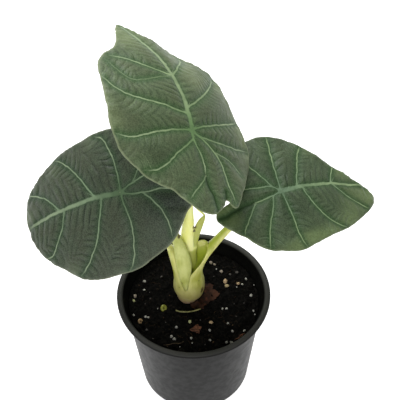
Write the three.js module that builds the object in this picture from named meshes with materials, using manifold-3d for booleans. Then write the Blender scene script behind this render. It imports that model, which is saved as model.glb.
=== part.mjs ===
// A young peltate alocasia in a round nursery pot.
// Millimetres, +Z up, origin on the underside of the pot at its centre.
import * as THREE from 'three';
import { mergeVertices } from 'three/addons/utils/BufferGeometryUtils.js';
import Module from 'manifold-3d';

const wasm = await Module();
wasm.setup();

// Driving dimensions of the pot
const RIM_RADIUS = 55;
const MOUTH_RADIUS = 51;
const POT_HEIGHT = 94.5;
const RIM_DEPTH = 3.6;
const STEP_DEPTH = 8.5;
const BODY_TOP_RADIUS = 49.3;
const BASE_RADIUS = 40.3;
const WALL = 1.3;
const FLOOR = 2.2;
const DRAIN_HOLES = 8;
const DRAIN_RADIUS = 3.5;
const DRAIN_RING = 28;
const ROUND_STEPS = 40;

// Driving dimensions of the plant and the mix
const GAP = 0.32;
const SOIL_LEVEL = 85;
const CROWN = new THREE.Vector2(-3, 5);
const CROWN_LEVEL = 84;
const CORM_DEPTH = 26;
const BLADE_THICKNESS = 0.9;
const VEIN_SINK = 0.7;
const RIB_HEIGHT = 0.9;
const VEIN_SPREAD = 3.2;

const COLOURS = {
    pot: 0x4a4a48,
    soil: 0x1c1a18,
    stalk: 0xbdc77f,
    youngStalk: 0xe6e88c,
    blade: 0x4c5d49,
    corm: 0xb59a78,
    driedSheath: 0x5a2f22,
    bark: 0x5b3a28,
    strand: 0x8f9a4a,
};

// Solids and meshes

function toSolid(geometry) {
    const bare = geometry.clone();
    bare.deleteAttribute('normal');
    bare.deleteAttribute('uv');
    const merged = mergeVertices(bare, 1e-4);
    return new wasm.Manifold(new wasm.Mesh({
        numProp: 3,
        vertProperties: new Float32Array(merged.attributes.position.array),
        triVerts: new Uint32Array(merged.index.array),
    }));
}

function toGeometry(solid) {
    const mesh = solid.getMesh();
    const geometry = new THREE.BufferGeometry();
    geometry.setAttribute('position', new THREE.BufferAttribute(mesh.vertProperties, 3));
    geometry.setIndex(new THREE.BufferAttribute(mesh.triVerts, 1));
    geometry.computeVertexNormals();
    return geometry;
}

function piece(name, solid, colour, roughness) {
    const material = new THREE.MeshStandardMaterial({ color: colour, roughness, metalness: 0 });
    const mesh = new THREE.Mesh(toGeometry(solid), material);
    mesh.name = name;
    return mesh;
}

// A turned shape about the z axis from [radius, height] pairs that close on the axis or on themselves
function turned(profile, steps) {
    const points = profile.map(([radius, height]) => new THREE.Vector2(radius, height));
    return new THREE.LatheGeometry(points, steps).rotateX(Math.PI / 2);
}

// A limb is a round or oval stalk bent along a smooth path. Each station gives
// [x, y, z, half width, half depth], where the width lies across the x-z plane and the depth along y.
function limb(stations, sides, steps, grow = 0) {
    const path = new THREE.CatmullRomCurve3(stations.map(([x, y, z]) => new THREE.Vector3(x, y, z)));
    const girth = new THREE.CatmullRomCurve3(
        stations.map((s) => new THREE.Vector3(s[3], s[4] ?? s[3], 0)),
    );
    const geometry = new THREE.CylinderGeometry(1, 1, 1, sides, steps);
    const position = geometry.attributes.position;
    const depthAxis = new THREE.Vector3(0, 1, 0);
    for (let i = 0; i < position.count; i++) {
        const t = position.getY(i) + 0.5;
        const centre = path.getPoint(t);
        const along = path.getTangent(t);
        const across = new THREE.Vector3().crossVectors(along, depthAxis).normalize();
        const through = new THREE.Vector3().crossVectors(across, along);
        const size = girth.getPoint(t);
        centre.addScaledVector(across, position.getX(i) * (size.x + grow));
        centre.addScaledVector(through, position.getZ(i) * (size.y + grow));
        if (t === 0) centre.addScaledVector(along, -grow);
        if (t === 1) centre.addScaledVector(along, grow);
        position.setXYZ(i, centre.x, centre.y, centre.z);
    }
    return toSolid(geometry);
}

function distanceToLine(line, u, v) {
    let nearest = Infinity;
    for (let i = 1; i < line.length; i++) {
        const [au, av] = line[i - 1];
        const [bu, bv] = line[i];
        const length2 = (bu - au) ** 2 + (bv - av) ** 2;
        const along = ((u - au) * (bu - au) + (v - av) * (bv - av)) / length2;
        const k = Math.min(1, Math.max(0, along));
        nearest = Math.min(nearest, Math.hypot(u - au - k * (bu - au), v - av - k * (bv - av)));
    }
    return nearest;
}

// Leaf blades. Each blade is drawn flat round the point where its stalk joins it: u runs along the
// midrib to the tip and v to its left. The pose sets the joint, the compass heading of the midrib,
// how far it droops and how far it rolls about itself. The bends are the blade's curvatures in 1/mm,
// and a dip is a place where the blade sags below them.

const TOP_LEAF = {
    joint: [1.9, 25.0, 232.5],
    heading: 105,
    droop: -27,
    roll: 32,
    bend: { tip: 0.0046, back: -0.001, left: 0.0031, right: 0.004, twist: -0.0003 },
    wave: { height: 0.8, count: 7, start: 0.4 },
    dips: [{ u: 68, v: -30, spread: 15, depth: 5 }],
    outline: [
        [93.5, 5], [84, 14.5], [72, 22.5], [64, 32.5], [55, 44.5], [39.5, 50.5], [23, 53.3], [5, 54.8],
        [-12, 52.5], [-24.5, 45.5], [-33.5, 36.5], [-39.5, 27], [-49.5, 19.5], [-56.5, 10], [-58, 2],
        [-50.5, -7.5], [-43, -12.5], [-49.5, -15.5], [-53.5, -17.5], [-46.5, -25.5], [-34.5, -39],
        [-21, -51], [-10, -55], [-1, -53], [12, -51.8], [26.5, -52], [40, -51.5], [49, -47.5],
        [57.5, -41.5], [66.5, -32.5], [76.5, -18.8], [85.2, -4.5], [91.5, 2],
    ],
    veins: [
        [[0, 0], [23, -2], [41.5, -3], [59.5, -2], [93, 5]],
        [[41.5, -3], [50.5, 16], [60.5, 34.5]],
        [[11, 1], [23, 28.5], [41.5, 50.5]],
        [[0, 2], [-1, 34.5], [0, 53.5]],
        [[-7, 2], [-20, 23], [-25.5, 42.5]],
        [[42.5, -3], [52.5, -17], [62.5, -24.5]],
        [[16, -4], [31.5, -30.5], [45.5, -47.5]],
        [[1, -3], [5, -28.5], [9, -49.5]],
        [[-1, -2], [-10, -28.5], [-12, -52.5]],
        [[-2, -3], [-20, -17], [-48.5, -20]],
        [[-16, -15], [-23, -28.5], [-32.5, -36.5]],
        [[-6, 1], [-29.5, -1], [-54.5, -2]],
        [[-31.5, 0], [-46.5, 18]],
    ],
};

const LEFT_LEAF = {
    joint: [-47.7, 20, 179.9],
    heading: 179,
    droop: 27,
    roll: -34,
    bend: { tip: 0.0024, back: 0.0011, left: 0.0054, right: 0.0041, twist: -0.0015 },
    wave: { height: 0.5, count: 8, start: 1.1 },
    dips: [],
    outline: [
        [85, -9], [83.5, 2], [80.5, 13], [72, 26.5], [61, 36], [50, 45.5], [37, 49.8], [22, 50.8],
        [6, 50.8], [-8, 46.8], [-21, 42], [-32, 34.5], [-41, 25.5], [-48, 20], [-50, 13],
        [-46, 7], [-37, 3.5], [-27, 0.5], [-36, -4.5], [-44, -9.5], [-48, -17], [-44, -27],
        [-35, -35], [-24, -41], [-12, -45], [0, -46.5], [14, -48], [29, -46.3], [43, -44.8],
        [56, -40], [69, -33.5], [79.5, -26.5], [84, -18],
    ],
    veins: [
        [[0, 0], [14, -2], [40, -3], [60, -2.5], [83, -1]],
        [[52, -4], [63, -17], [82, -25]],
        [[20, -3], [33, -26], [51, -41]],
        [[0, 0], [0, -25], [14, -46]],
        [[47, -2], [59, 16], [74, 25]],
        [[15, -1], [28, 26], [51, 44]],
        [[0, 2], [-1, 23], [13, 50]],
        [[0, 0], [-16, 5.5], [-45, 14]],
        [[-16, 6], [-24.5, 18], [-26, 38]],
        [[0, 0], [-19, -5.5], [-44, -18]],
        [[-10.5, -4.5], [-22, -20], [-25, -39]],
    ],
};

const RIGHT_LEAF = {
    joint: [61.3, 23.0, 175.4],
    heading: 19,
    droop: 13,
    roll: 15,
    bend: { tip: 0.0022, back: 0.001, left: 0.0022, right: 0.0019, twist: 0 },
    wave: { height: 0.5, count: 8, start: 2.2 },
    dips: [],
    outline: [
        [75, -5.5], [72, -0.5], [63.5, 6], [52.5, 15.5], [43.5, 22.5], [32, 32.5], [20, 42],
        [5, 46.5], [-8, 45], [-20, 40], [-31, 32.5], [-40.5, 24.5], [-46.5, 16], [-45.5, 9],
        [-37, 5], [-29, 1.5], [-34, -1.5], [-40.5, -5], [-47, -8], [-51.5, -12.5],
        [-50, -17.5], [-43.5, -22.5], [-34.5, -31], [-23.5, -39], [-11, -42.5], [2, -43.5],
        [13, -40], [27, -35.5], [42.5, -30.5], [56.5, -23.5], [69, -15.5], [74, -10],
    ],
    veins: [
        [[0, 0], [19, 3], [40.5, 4], [67.5, 2]],
        [[40.5, 5], [49.5, 17]],
        [[12, 3], [28, 36]],
        [[-1, 2], [4, 45.5]],
        [[-6, 5], [-22, 37]],
        [[-1, 1], [-14, 5], [-42.5, 14]],
        [[-2, -1], [-21, -7], [-50.5, -14]],
        [[-21, -7], [-33, -22], [-35, -29]],
        [[-7, -4], [-15, -26], [-21, -39]],
        [[0, -2], [2, -28], [6, -42.5]],
        [[16, 0], [24, -18], [41.5, -30]],
        [[40.5, 2], [52.5, -9], [65.5, -16]],
    ],
};

const BLADE_RINGS = [0.09, 0.21, 0.35, 0.5, 0.65, 0.8, 0.92, 1];
const JOINT_RINGS = [0.05, 0.12, 0.2, 0.28];
const CLEARANCE_HEIGHT = 12;

function leafFrame(leaf) {
    const heading = THREE.MathUtils.degToRad(leaf.heading);
    const droop = THREE.MathUtils.degToRad(leaf.droop);
    const roll = THREE.MathUtils.degToRad(leaf.roll);
    const ahead = new THREE.Vector3(
        Math.cos(heading) * Math.cos(droop),
        Math.sin(heading) * Math.cos(droop),
        -Math.sin(droop),
    );
    const level = new THREE.Vector3(0, 0, 1).cross(ahead).normalize();
    const upright = new THREE.Vector3().crossVectors(ahead, level);
    const left = level.multiplyScalar(Math.cos(roll)).addScaledVector(upright, Math.sin(roll));
    const normal = new THREE.Vector3().crossVectors(ahead, left);
    return { joint: new THREE.Vector3(...leaf.joint), ahead, left, normal };
}

function bladeHeight(leaf, u, v) {
    const { tip, back, left, right, twist } = leaf.bend;
    let height = -(u > 0 ? tip : back) * u * u - (v > 0 ? left : right) * v * v - twist * u * v;
    for (const dip of leaf.dips) {
        const reach2 = ((u - dip.u) ** 2 + (v - dip.v) ** 2) / dip.spread ** 2;
        height -= dip.depth * Math.exp(-reach2);
    }
    return height;
}

// A point of the blade, or of a surface a set depth above or below its upper face
function bladePoint(leaf, frame, u, v, edge, offset) {
    const { height, count, start } = leaf.wave;
    const wave = height * edge ** 3 * Math.sin(count * Math.atan2(v, u) + start);
    const lift = bladeHeight(leaf, u, v) + wave + offset;
    return frame.joint.clone()
        .addScaledVector(frame.ahead, u)
        .addScaledVector(frame.left, v)
        .addScaledVector(frame.normal, lift);
}

// Fades from 1 on a vein to 0 between veins, and weaker towards the margin
function veinShare(leaf, u, v, edge) {
    const nearest = Math.min(...leaf.veins.map((line) => distanceToLine(line, u, v)));
    return Math.exp(-((nearest / VEIN_SPREAD) ** 2)) * (1 - 0.8 * edge ** 2);
}

// A closed slab between two surfaces of the blade, split into the same triangles on both faces.
// The rings are the margin drawn in towards the joint by these shares.
function bladeSlab(leaf, rings, upper, lower) {
    const frame = leafFrame(leaf);
    const flat = new THREE.CatmullRomCurve3(
        leaf.outline.map(([u, v]) => new THREE.Vector3(u, v, 0)),
        true,
        'centripetal',
    );
    const spokes = leaf.outline.length * 2;
    const margin = Array.from({ length: spokes }, (_, i) => flat.getPoint(i / spokes));
    const positions = [];
    const indices = [];
    const faceSize = 1 + spokes * rings.length;
    for (const depth of [upper, lower]) {
        positions.push(...bladePoint(leaf, frame, 0, 0, 0, depth(0, 0, 0)));
        for (const ring of rings) {
            for (const { x, y } of margin) {
                const [u, v] = [x * ring, y * ring];
                positions.push(...bladePoint(leaf, frame, u, v, ring, depth(u, v, ring)));
            }
        }
    }
    const at = (face, ring, spoke) => face * faceSize + 1 + ring * spokes + (spoke % spokes);
    const triangle = (face, a, b, c) => indices.push(a, face === 0 ? b : c, face === 0 ? c : b);
    for (const face of [0, 1]) {
        for (let i = 0; i < spokes; i++) {
            triangle(face, face * faceSize, at(face, 0, i), at(face, 0, i + 1));
            for (let r = 1; r < rings.length; r++) {
                triangle(face, at(face, r - 1, i), at(face, r, i), at(face, r, i + 1));
                triangle(face, at(face, r - 1, i), at(face, r, i + 1), at(face, r - 1, i + 1));
            }
        }
    }
    const last = rings.length - 1;
    for (let i = 0; i < spokes; i++) {
        indices.push(at(0, last, i), at(1, last, i), at(1, last, i + 1));
        indices.push(at(0, last, i), at(1, last, i + 1), at(0, last, i + 1));
    }
    const geometry = new THREE.BufferGeometry();
    geometry.setAttribute('position', new THREE.Float32BufferAttribute(positions, 3));
    geometry.setIndex(indices);
    return toSolid(geometry);
}

// The blade itself: veins sunk into the upper face and standing out below as ribs
function blade(leaf) {
    return bladeSlab(
        leaf,
        BLADE_RINGS,
        (u, v, edge) => -VEIN_SINK * veinShare(leaf, u, v, edge),
        (u, v, edge) => -BLADE_THICKNESS - (VEIN_SINK + RIB_HEIGHT) * veinShare(leaf, u, v, edge),
    );
}

// The space that a stalk must leave free at its blade, from a gap below the ribs to well above
function bladeClearance(leaf) {
    const below = BLADE_THICKNESS + VEIN_SINK + RIB_HEIGHT + GAP;
    return bladeSlab(leaf, JOINT_RINGS, () => CLEARANCE_HEIGHT, () => -below);
}

// A point below the joint of a blade, measured back along the blade's normal
function underJoint(leaf, depth, girth) {
    const { joint, normal } = leafFrame(leaf);
    return [...joint.clone().addScaledVector(normal, -depth), girth];
}

// Stalks. The outer one wraps the base of the plant; the other two stand in its throat.

const OUTER_STALK = [
    [-4.2, 3.6, 84.3, 5.4, 6.4], [-4.2, 3.6, 86.5, 7.8, 7.9], [-3.4, 4.5, 91, 10.3, 9.8],
    [-3.1, 5, 97, 11.3, 10.8], [-3, 5, 103, 10.9, 10.6], [-2.9, 5, 109, 9.8, 10],
    [-1.8, 5, 116, 8.9, 9.1], [1.8, 4.6, 125, 7.2, 7.5], [6.8, 4.8, 132.4, 5.3, 5.8],
    [12.5, 5.5, 138.5, 3.3, 4], [17.5, 7.1, 144.6, 2.9, 3.2], [25.8, 10, 153.8, 2.6, 2.7],
    [38, 14.3, 164.3, 2.4], [50, 18.2, 171.6, 2.5], underJoint(RIGHT_LEAF, 4, 2.8),
    underJoint(RIGHT_LEAF, -1, 3.2),
];
const LEFT_LOBE = [
    [-3, 5, 96, 8.2], [-4, 5, 104, 9.6], [-5.5, 4.6, 112, 8.6], [-8, 4.3, 120, 6.8, 7],
    [-11, 4.1, 128, 4.8, 5.6], [-14, 4.3, 136, 3, 4.3], [-16.4, 4.7, 142, 1.6, 2.7],
    [-18, 5.2, 146, 0.5, 0.8],
];
const EAR = [
    [-2, 8, 108, 5, 4], [1, 9, 120, 4.8, 3], [4.2, 9.2, 130, 4.9, 2.3], [6.2, 9.1, 135.5, 4.6, 1.8],
    [7.1, 8.9, 138.6, 4, 1.5], [7.3, 8.7, 140.6, 2.9, 1.1], [7.3, 8.6, 141.8, 1.3, 0.6],
];
const THROAT = [
    [-4.6, 2.5, 92, 2, 2.2], [-5.1, 0.6, 100, 2.4, 3.9], [-6, -1, 106, 2.9, 5.4],
    [-5.5, 0.2, 111.5, 5, 6.6], [-5.1, 1.7, 118, 6.3, 8.2], [-3.6, 2.6, 125, 8.2, 8],
    [-2.3, 3, 130.6, 10.3, 7.3], [-0.9, 3.3, 136, 11.3, 6], [-1, 3.6, 140, 11.2, 5.6],
    [-1.4, 4, 144, 9.6, 5.2], [-1.5, 4, 150, 8, 5],
];
const FRONT_STALK = [
    [-4, 2, 84.3, 2.4, 2], [-4, 1.2, 90, 3.2, 3], [-4.5, -0.1, 98, 2.6, 3.8], [-5.2, -0.9, 105, 2.6, 4.2],
    [-5.6, -0.9, 112, 4.2, 4.2], [-5.7, -1, 118.5, 5.2, 4.1], [-5.7, -0.8, 127, 5.9, 3.7],
    [-7.2, 0.4, 136.6, 5.1, 3.3], [-9.7, 3, 147, 3.8, 2.9], [-14.5, 6.4, 157.5, 2.9, 2.7],
    [-23, 11, 167.5, 2.5], [-34, 17, 174, 2.4], [-42.5, 22, 175.8, 2.5],
    underJoint(LEFT_LEAF, 2.6, 2.8), underJoint(LEFT_LEAF, -2, 3.2),
];
const YOUNG_STALK = [
    [-3.3, 6.4, 84.6, 2.2, 1.8], [-3.3, 6.4, 87, 2.8, 2.3], [-3, 7.4, 92, 3.8, 3],
    [-2.2, 7.2, 105, 4.4, 3.5],
    [-1.9, 7.1, 118, 4.4, 3.5], [-2.3, 7.1, 131, 4.5, 3.4], [-3.2, 7.9, 143, 4.7, 3.3],
    [-3, 9.2, 152, 4.3, 3.1], [-2.2, 10.8, 160, 3.7, 3], [-2, 12.6, 168, 3.2, 2.9],
    [-1.6, 17.4, 185, 2.8], [-1.6, 22.2, 203, 2.6], [-1.3, 25.2, 217, 2.6],
    underJoint(TOP_LEAF, 4, 2.9), underJoint(TOP_LEAF, -1, 3.3),
];
const SHEATH_WING = [
    [-0.4, 6.4, 116, 1.6, 1.8], [0.6, 6.6, 126, 1.9, 2], [0.9, 7, 134, 2, 1.9],
    [1.6, 7.8, 141, 2.2, 1.8], [2.5, 8.6, 147, 2.3, 1.6], [3.8, 9.6, 152, 2.1, 1.3],
    [5.4, 10.6, 156.4, 1.8, 1.1], [7.2, 11.5, 160.4, 1.4, 0.8], [8.5, 12.2, 163, 0.7, 0.6],
];
const SHEATH_THREAD = [
    [8.3, 12.1, 162.4, 0.5], [8.5, 12.6, 163.6, 0.5], [7.7, 13.5, 164.1, 0.46],
    [6.1, 14.5, 165, 0.42], [4.5, 15.5, 165.8, 0.38], [3.4, 16.5, 166.4, 0.3],
];

function frontStalk(grow) {
    return limb(FRONT_STALK, 12, 20, grow);
}

function youngStalk(grow) {
    const wing = limb(SHEATH_WING, 8, 7, grow);
    const thread = limb(SHEATH_THREAD, 5, 5, grow);
    return limb(YOUNG_STALK, 12, 18, grow).add(wing).add(thread);
}

function outerStalk() {
    const body = limb(OUTER_STALK, 16, 22).add(limb(LEFT_LOBE, 12, 10)).add(limb(EAR, 10, 7));
    return body.subtract(limb(THROAT, 14, 14)).subtract(frontStalk(GAP)).subtract(youngStalk(GAP));
}

// The corm: the short stem in the mix, with its thick roots. They lie in plain holes in the mix.

const ROOTS = [
    { turn: 20, from: 72, to: 44, reach: 33 },
    { turn: 88, from: 68, to: 34, reach: 29 },
    { turn: 152, from: 74, to: 52, reach: 35 },
    { turn: 216, from: 67, to: 28, reach: 27 },
    { turn: 290, from: 71, to: 40, reach: 31 },
];

function corm(grow) {
    const bottom = CROWN_LEVEL - CORM_DEPTH;
    const profile = [
        [0, bottom - grow], [4.6 + grow, bottom + 1.5 - grow], [7.6 + grow, bottom + 7],
        [8.2 + grow, bottom + 14], [7.4 + grow, CROWN_LEVEL - 5], [5.6 + grow, CROWN_LEVEL],
        [0, CROWN_LEVEL],
    ];
    let solid = toSolid(turned(profile, 20).translate(CROWN.x, CROWN.y, 0));
    for (const { turn, from, to, reach } of ROOTS) {
        const angle = THREE.MathUtils.degToRad(turn);
        const station = (share, drop, girth) => [
            CROWN.x + reach * share * Math.cos(angle + 0.3 * share),
            CROWN.y + reach * share * Math.sin(angle + 0.3 * share),
            from + (to - from) * drop,
            girth,
        ];
        const root = limb(
            [station(0.12, 0, 1.5), station(0.5, 0.2, 1.3), station(0.82, 0.58, 1), station(1, 1, 0.6)],
            5, 5, grow,
        );
        solid = solid.add(root);
    }
    return solid;
}

// The pot, turned as one shell, with its drain holes cut through the floor

function potProfile() {
    const rimUnder = POT_HEIGHT - RIM_DEPTH;
    const stepLevel = POT_HEIGHT - STEP_DEPTH;
    const slope = (BODY_TOP_RADIUS - BASE_RADIUS) / stepLevel;
    const outer = (z) => BASE_RADIUS + slope * z;
    const inner = (z) => outer(z) - WALL;
    return [
        [0, 0], [BASE_RADIUS - 3, 0], [BASE_RADIUS - 0.9, 0.9], [outer(3), 3],
        [outer(stepLevel), stepLevel], [BODY_TOP_RADIUS + 0.7, stepLevel + 0.6],
        [BODY_TOP_RADIUS + 1, rimUnder], [RIM_RADIUS - 1, rimUnder + 0.1],
        [RIM_RADIUS, rimUnder + 1.1], [RIM_RADIUS, POT_HEIGHT - 1], [RIM_RADIUS - 1, POT_HEIGHT],
        [MOUTH_RADIUS + 0.8, POT_HEIGHT], [MOUTH_RADIUS - 0.4, POT_HEIGHT - 1],
        [MOUTH_RADIUS - 1.2, rimUnder - 0.6], [BODY_TOP_RADIUS - 0.6, stepLevel + 0.9],
        [inner(stepLevel) - 0.2, stepLevel - 0.6], [inner(FLOOR + 3), FLOOR + 3],
        [inner(FLOOR) - 2.6, FLOOR], [0, FLOOR],
    ];
}

function pot() {
    let shell = toSolid(turned(potProfile(), ROUND_STEPS));
    for (let i = 0; i < DRAIN_HOLES; i++) {
        const angle = (i / DRAIN_HOLES) * Math.PI * 2;
        const hole = new THREE.CylinderGeometry(DRAIN_RADIUS, DRAIN_RADIUS, 6 * FLOOR, 12)
            .rotateX(Math.PI / 2)
            .translate(DRAIN_RING * Math.cos(angle), DRAIN_RING * Math.sin(angle), 0);
        shell = shell.subtract(toSolid(hole));
    }
    return shell;
}

// The mix: a plug that fills the pot, with a crumbly top that is a little lower at the wall

const SOIL_RINGS = 9;

function soilHeight(x, y) {
    const crumbs = 0.55 * Math.sin(0.62 * x + 1.3) * Math.cos(0.55 * y - 0.4)
        + 0.4 * Math.sin(0.29 * x - 0.47 * y + 2)
        + 0.35 * Math.cos(0.83 * x + 0.71 * y);
    const dish = -1.4 * (Math.hypot(x, y) / BODY_TOP_RADIUS) ** 4;
    return SOIL_LEVEL + crumbs + dish;
}

function soilPlug(lift) {
    const slope = (BODY_TOP_RADIUS - BASE_RADIUS) / (POT_HEIGHT - STEP_DEPTH);
    const side = (z) => BASE_RADIUS + slope * z - WALL - 2 * GAP;
    const foot = FLOOR + GAP;
    const topRadius = side(SOIL_LEVEL) - 0.2;
    const profile = [[0, foot], [side(foot) - 3.4, foot], [side(foot + 3.4), foot + 3.4]];
    for (let ring = 0; ring <= SOIL_RINGS; ring++) {
        profile.push([topRadius * (1 - ring / SOIL_RINGS), SOIL_LEVEL]);
    }
    const geometry = turned(profile, ROUND_STEPS);
    const position = geometry.attributes.position;
    for (let i = 0; i < position.count; i++) {
        if (position.getZ(i) === SOIL_LEVEL) {
            position.setZ(i, soilHeight(position.getX(i), position.getY(i)) + lift);
        }
    }
    return toSolid(geometry);
}

const PERLITE = [
    // [x, y, radius] of the grains that show on the mix
    [-42.5, 4.5, 1.3], [-43.3, 0.5, 1], [-36, 17, 1.1], [-36, 10, 1], [-21.5, -8.5, 1.5],
    [-38.5, -17.5, 1.4], [-43, -12.5, 0.9], [-34.5, -14, 0.9], [-32.5, -14.7, 0.8], [-33.5, -25, 0.9],
    [-3, -19, 1.3], [12, -20.5, 1.3], [11, -26, 1], [-12.5, -23.5, 0.9], [-2, -33, 0.9],
    [11, -35, 0.8], [-16, -31, 1.1], [-14, -33.3, 1.1], [24, -21, 0.8], [27, -27.5, 0.9],
    [35.5, -27.5, 1], [22.5, -37, 0.9], [26, -37.5, 1], [20.5, -8.5, 0.8], [23.5, -8.5, 0.8],
    [42.5, -10.5, 0.8], [41.5, 3, 1.1], [35.5, 13.5, 0.9], [32.5, 14, 1.2], [23.5, 14, 1.6],
    [38.5, 18.5, 1], [32, 24, 1.1], [20.5, 25, 1.2], [14.5, 32.5, 1.1], [27, 23, 0.8],
    [-23.5, 22, 0.8], [-10, 32, 1.2], [3, 25, 1],
];

function perliteGrain([x, y, radius], index) {
    return toSolid(
        new THREE.IcosahedronGeometry(radius, 0)
            .rotateZ(index * 1.7)
            .rotateX(index * 0.9)
            .scale(1.1, 0.9, 0.8)
            .translate(x, y, soilHeight(x, y) - 0.35 * radius),
    );
}

// The plain hole that the corm and the foot of the bulb stand in
function crownHole() {
    return corm(GAP).add(limb(OUTER_STALK, 16, 22, 2 * GAP));
}

function soil() {
    let plug = soilPlug(0);
    PERLITE.forEach((grain, index) => {
        plug = plug.add(perliteGrain(grain, index));
    });
    return plug.subtract(crownHole());
}

// Litter on the mix. Each piece is set into a raised copy of the mix and trimmed to sit on it.

function seated(solid) {
    return solid.subtract(soilPlug(GAP)).subtract(limb(OUTER_STALK, 16, 22, GAP));
}

// A flat scrap with a chipped outline, tilted a little
function chip(x, y, length, width, height, turn) {
    const shape = new THREE.Shape([
        new THREE.Vector2(-0.5 * length, -0.2 * width), new THREE.Vector2(-0.1 * length, -0.5 * width),
        new THREE.Vector2(0.4 * length, -0.4 * width), new THREE.Vector2(0.5 * length, 0.1 * width),
        new THREE.Vector2(0.15 * length, 0.5 * width), new THREE.Vector2(-0.35 * length, 0.35 * width),
    ]);
    const geometry = new THREE.ExtrudeGeometry(shape, { depth: height + 2, bevelEnabled: false })
        .translate(0, 0, -2)
        .rotateZ(THREE.MathUtils.degToRad(turn))
        .translate(x, y, soilHeight(x, y));
    return seated(toSolid(geometry));
}

const DRIED_SHEATH = [
    [1.5, -7, 86.6, 0.7, 2], [5, -5.5, 87, 1, 3.2], [9, -2.5, 87.3, 1.1, 5],
    [13, 0.5, 87.2, 1, 5.2], [16.5, 3.5, 87, 0.8, 3.6], [19, 5.8, 86.8, 0.5, 1.2],
];
const GREEN_STRAND = [[-13, -10], [-10, -11.6], [-6.3, -12.3], [-1, -12], [3.5, -10.8]];
const DRY_STRAND = [[-22.5, -36], [-17, -38.5], [-11, -40], [-6.5, -39.7]];

// A fibre that lies along the mix, over its crumbs
function fibre(points, girth) {
    const path = new THREE.CatmullRomCurve3(points.map(([x, y]) => new THREE.Vector3(x, y, 0)));
    const stations = path.getPoints(points.length * 3).map(({ x, y }) => {
        return [x, y, soilHeight(x, y) + girth + GAP, girth];
    });
    return seated(limb(stations, 5, 10));
}

const rightStalk = outerStalk().subtract(bladeClearance(RIGHT_LEAF));
const leftStalk = frontStalk(0).subtract(bladeClearance(LEFT_LEAF));
const topStalk = youngStalk(0).subtract(frontStalk(GAP)).subtract(bladeClearance(TOP_LEAF));

const plant = new THREE.Group();
plant.add(
    piece('corm', corm(0), COLOURS.corm, 0.8),
    piece('petiole_right', rightStalk, COLOURS.stalk, 0.45),
    piece('petiole_left', leftStalk, COLOURS.stalk, 0.45),
    piece('petiole_top', topStalk, COLOURS.youngStalk, 0.45),
    piece('blade_right', blade(RIGHT_LEAF), COLOURS.blade, 0.5),
    piece('blade_left', blade(LEFT_LEAF), COLOURS.blade, 0.5),
    piece('blade_top', blade(TOP_LEAF), COLOURS.blade, 0.5),
);

const holder = new THREE.Group();
holder.add(
    piece('pot', pot(), COLOURS.pot, 0.4),
    piece('soil', soil(), COLOURS.soil, 0.95),
    piece('dried_sheath', seated(limb(DRIED_SHEATH, 8, 8)), COLOURS.driedSheath, 0.8),
    piece('bark_chip_middle', chip(1.6, -26.5, 6.5, 5, 1.6, 20), COLOURS.bark, 0.9),
    piece('bark_chip_rim', chip(29.9, -32.4, 11, 4, 2, 43), COLOURS.bark, 0.9),
    piece('green_strand', fibre(GREEN_STRAND, 0.7), COLOURS.strand, 0.6),
    piece('dry_strand', fibre(DRY_STRAND, 0.6), COLOURS.bark, 0.8),
);

const alocasia = new THREE.Group();
alocasia.add(holder, plant);

export default alocasia;
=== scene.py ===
"""A young alocasia with three shield-shaped leaves in a round nursery pot.

The fine shapes, finishes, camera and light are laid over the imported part. Lengths are in metres,
and sizes that are written in millimetres are multiplied by MM.
"""

import math
import random

import bpy
import numpy as np
from mathutils import Matrix, Vector, noise


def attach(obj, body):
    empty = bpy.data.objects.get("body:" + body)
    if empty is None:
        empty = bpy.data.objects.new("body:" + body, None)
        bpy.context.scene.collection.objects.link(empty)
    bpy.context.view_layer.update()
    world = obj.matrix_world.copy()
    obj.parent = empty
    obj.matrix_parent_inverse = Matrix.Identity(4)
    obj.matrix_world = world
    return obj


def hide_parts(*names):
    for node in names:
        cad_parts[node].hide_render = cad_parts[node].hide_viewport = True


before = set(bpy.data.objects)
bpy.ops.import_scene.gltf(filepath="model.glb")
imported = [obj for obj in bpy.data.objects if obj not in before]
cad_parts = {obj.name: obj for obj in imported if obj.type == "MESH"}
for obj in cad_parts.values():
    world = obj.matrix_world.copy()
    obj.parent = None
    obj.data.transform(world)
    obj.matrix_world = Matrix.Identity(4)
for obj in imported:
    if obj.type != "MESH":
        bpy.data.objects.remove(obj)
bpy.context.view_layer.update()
MM = 0.001


# The nursery pot
# A thin round pot, moulded in one piece from dark grey plastic. A flat rim runs round the mouth
# over a stacking step, the wall tapers to the foot, and the floor has a ring of drain holes.

POT_OUTLINE = [  # radius and height: the outside from the foot up, then the inside down
    (0, 0), (37.3, 0), (39.4, 0.9), (40.6, 3), (49.3, 86), (50, 86.6), (50.3, 90.9), (54, 91),
    (55, 92), (55, 93.5), (54, 94.5), (51.8, 94.5), (50.6, 93.5), (49.8, 90.3), (48.7, 86.9),
    (47.8, 85.4), (39.5, 5.2), (36.6, 2.2), (0, 2.2),
]
DRAIN_HOLES = 8
DRAIN_RADIUS = 3.5
DRAIN_RING = 28
POT_STEPS = 180
EDGE_ROUND = 0.35
EDGE_ANGLE = 28  # an edge sharper than this many degrees is rounded
SMOOTH_ANGLE = 32
RIM_EDGE = 93  # from this height to the next one the flat of the rim is painted lighter, a painted highlight
RIM_TOP = 94.4


def pick(piece):
    """Makes this piece the only selected one, and the one that operators act on."""
    bpy.ops.object.select_all(action="DESELECT")
    piece.select_set(True)
    bpy.context.view_layer.objects.active = piece


def modified(piece, kind, **settings):
    """Changes a piece by one modifier with its settings."""
    modifier = piece.modifiers.new(kind.lower(), kind)
    for name, value in settings.items():
        setattr(modifier, name, value)
    pick(piece)
    bpy.ops.object.modifier_apply(modifier=modifier.name)


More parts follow.
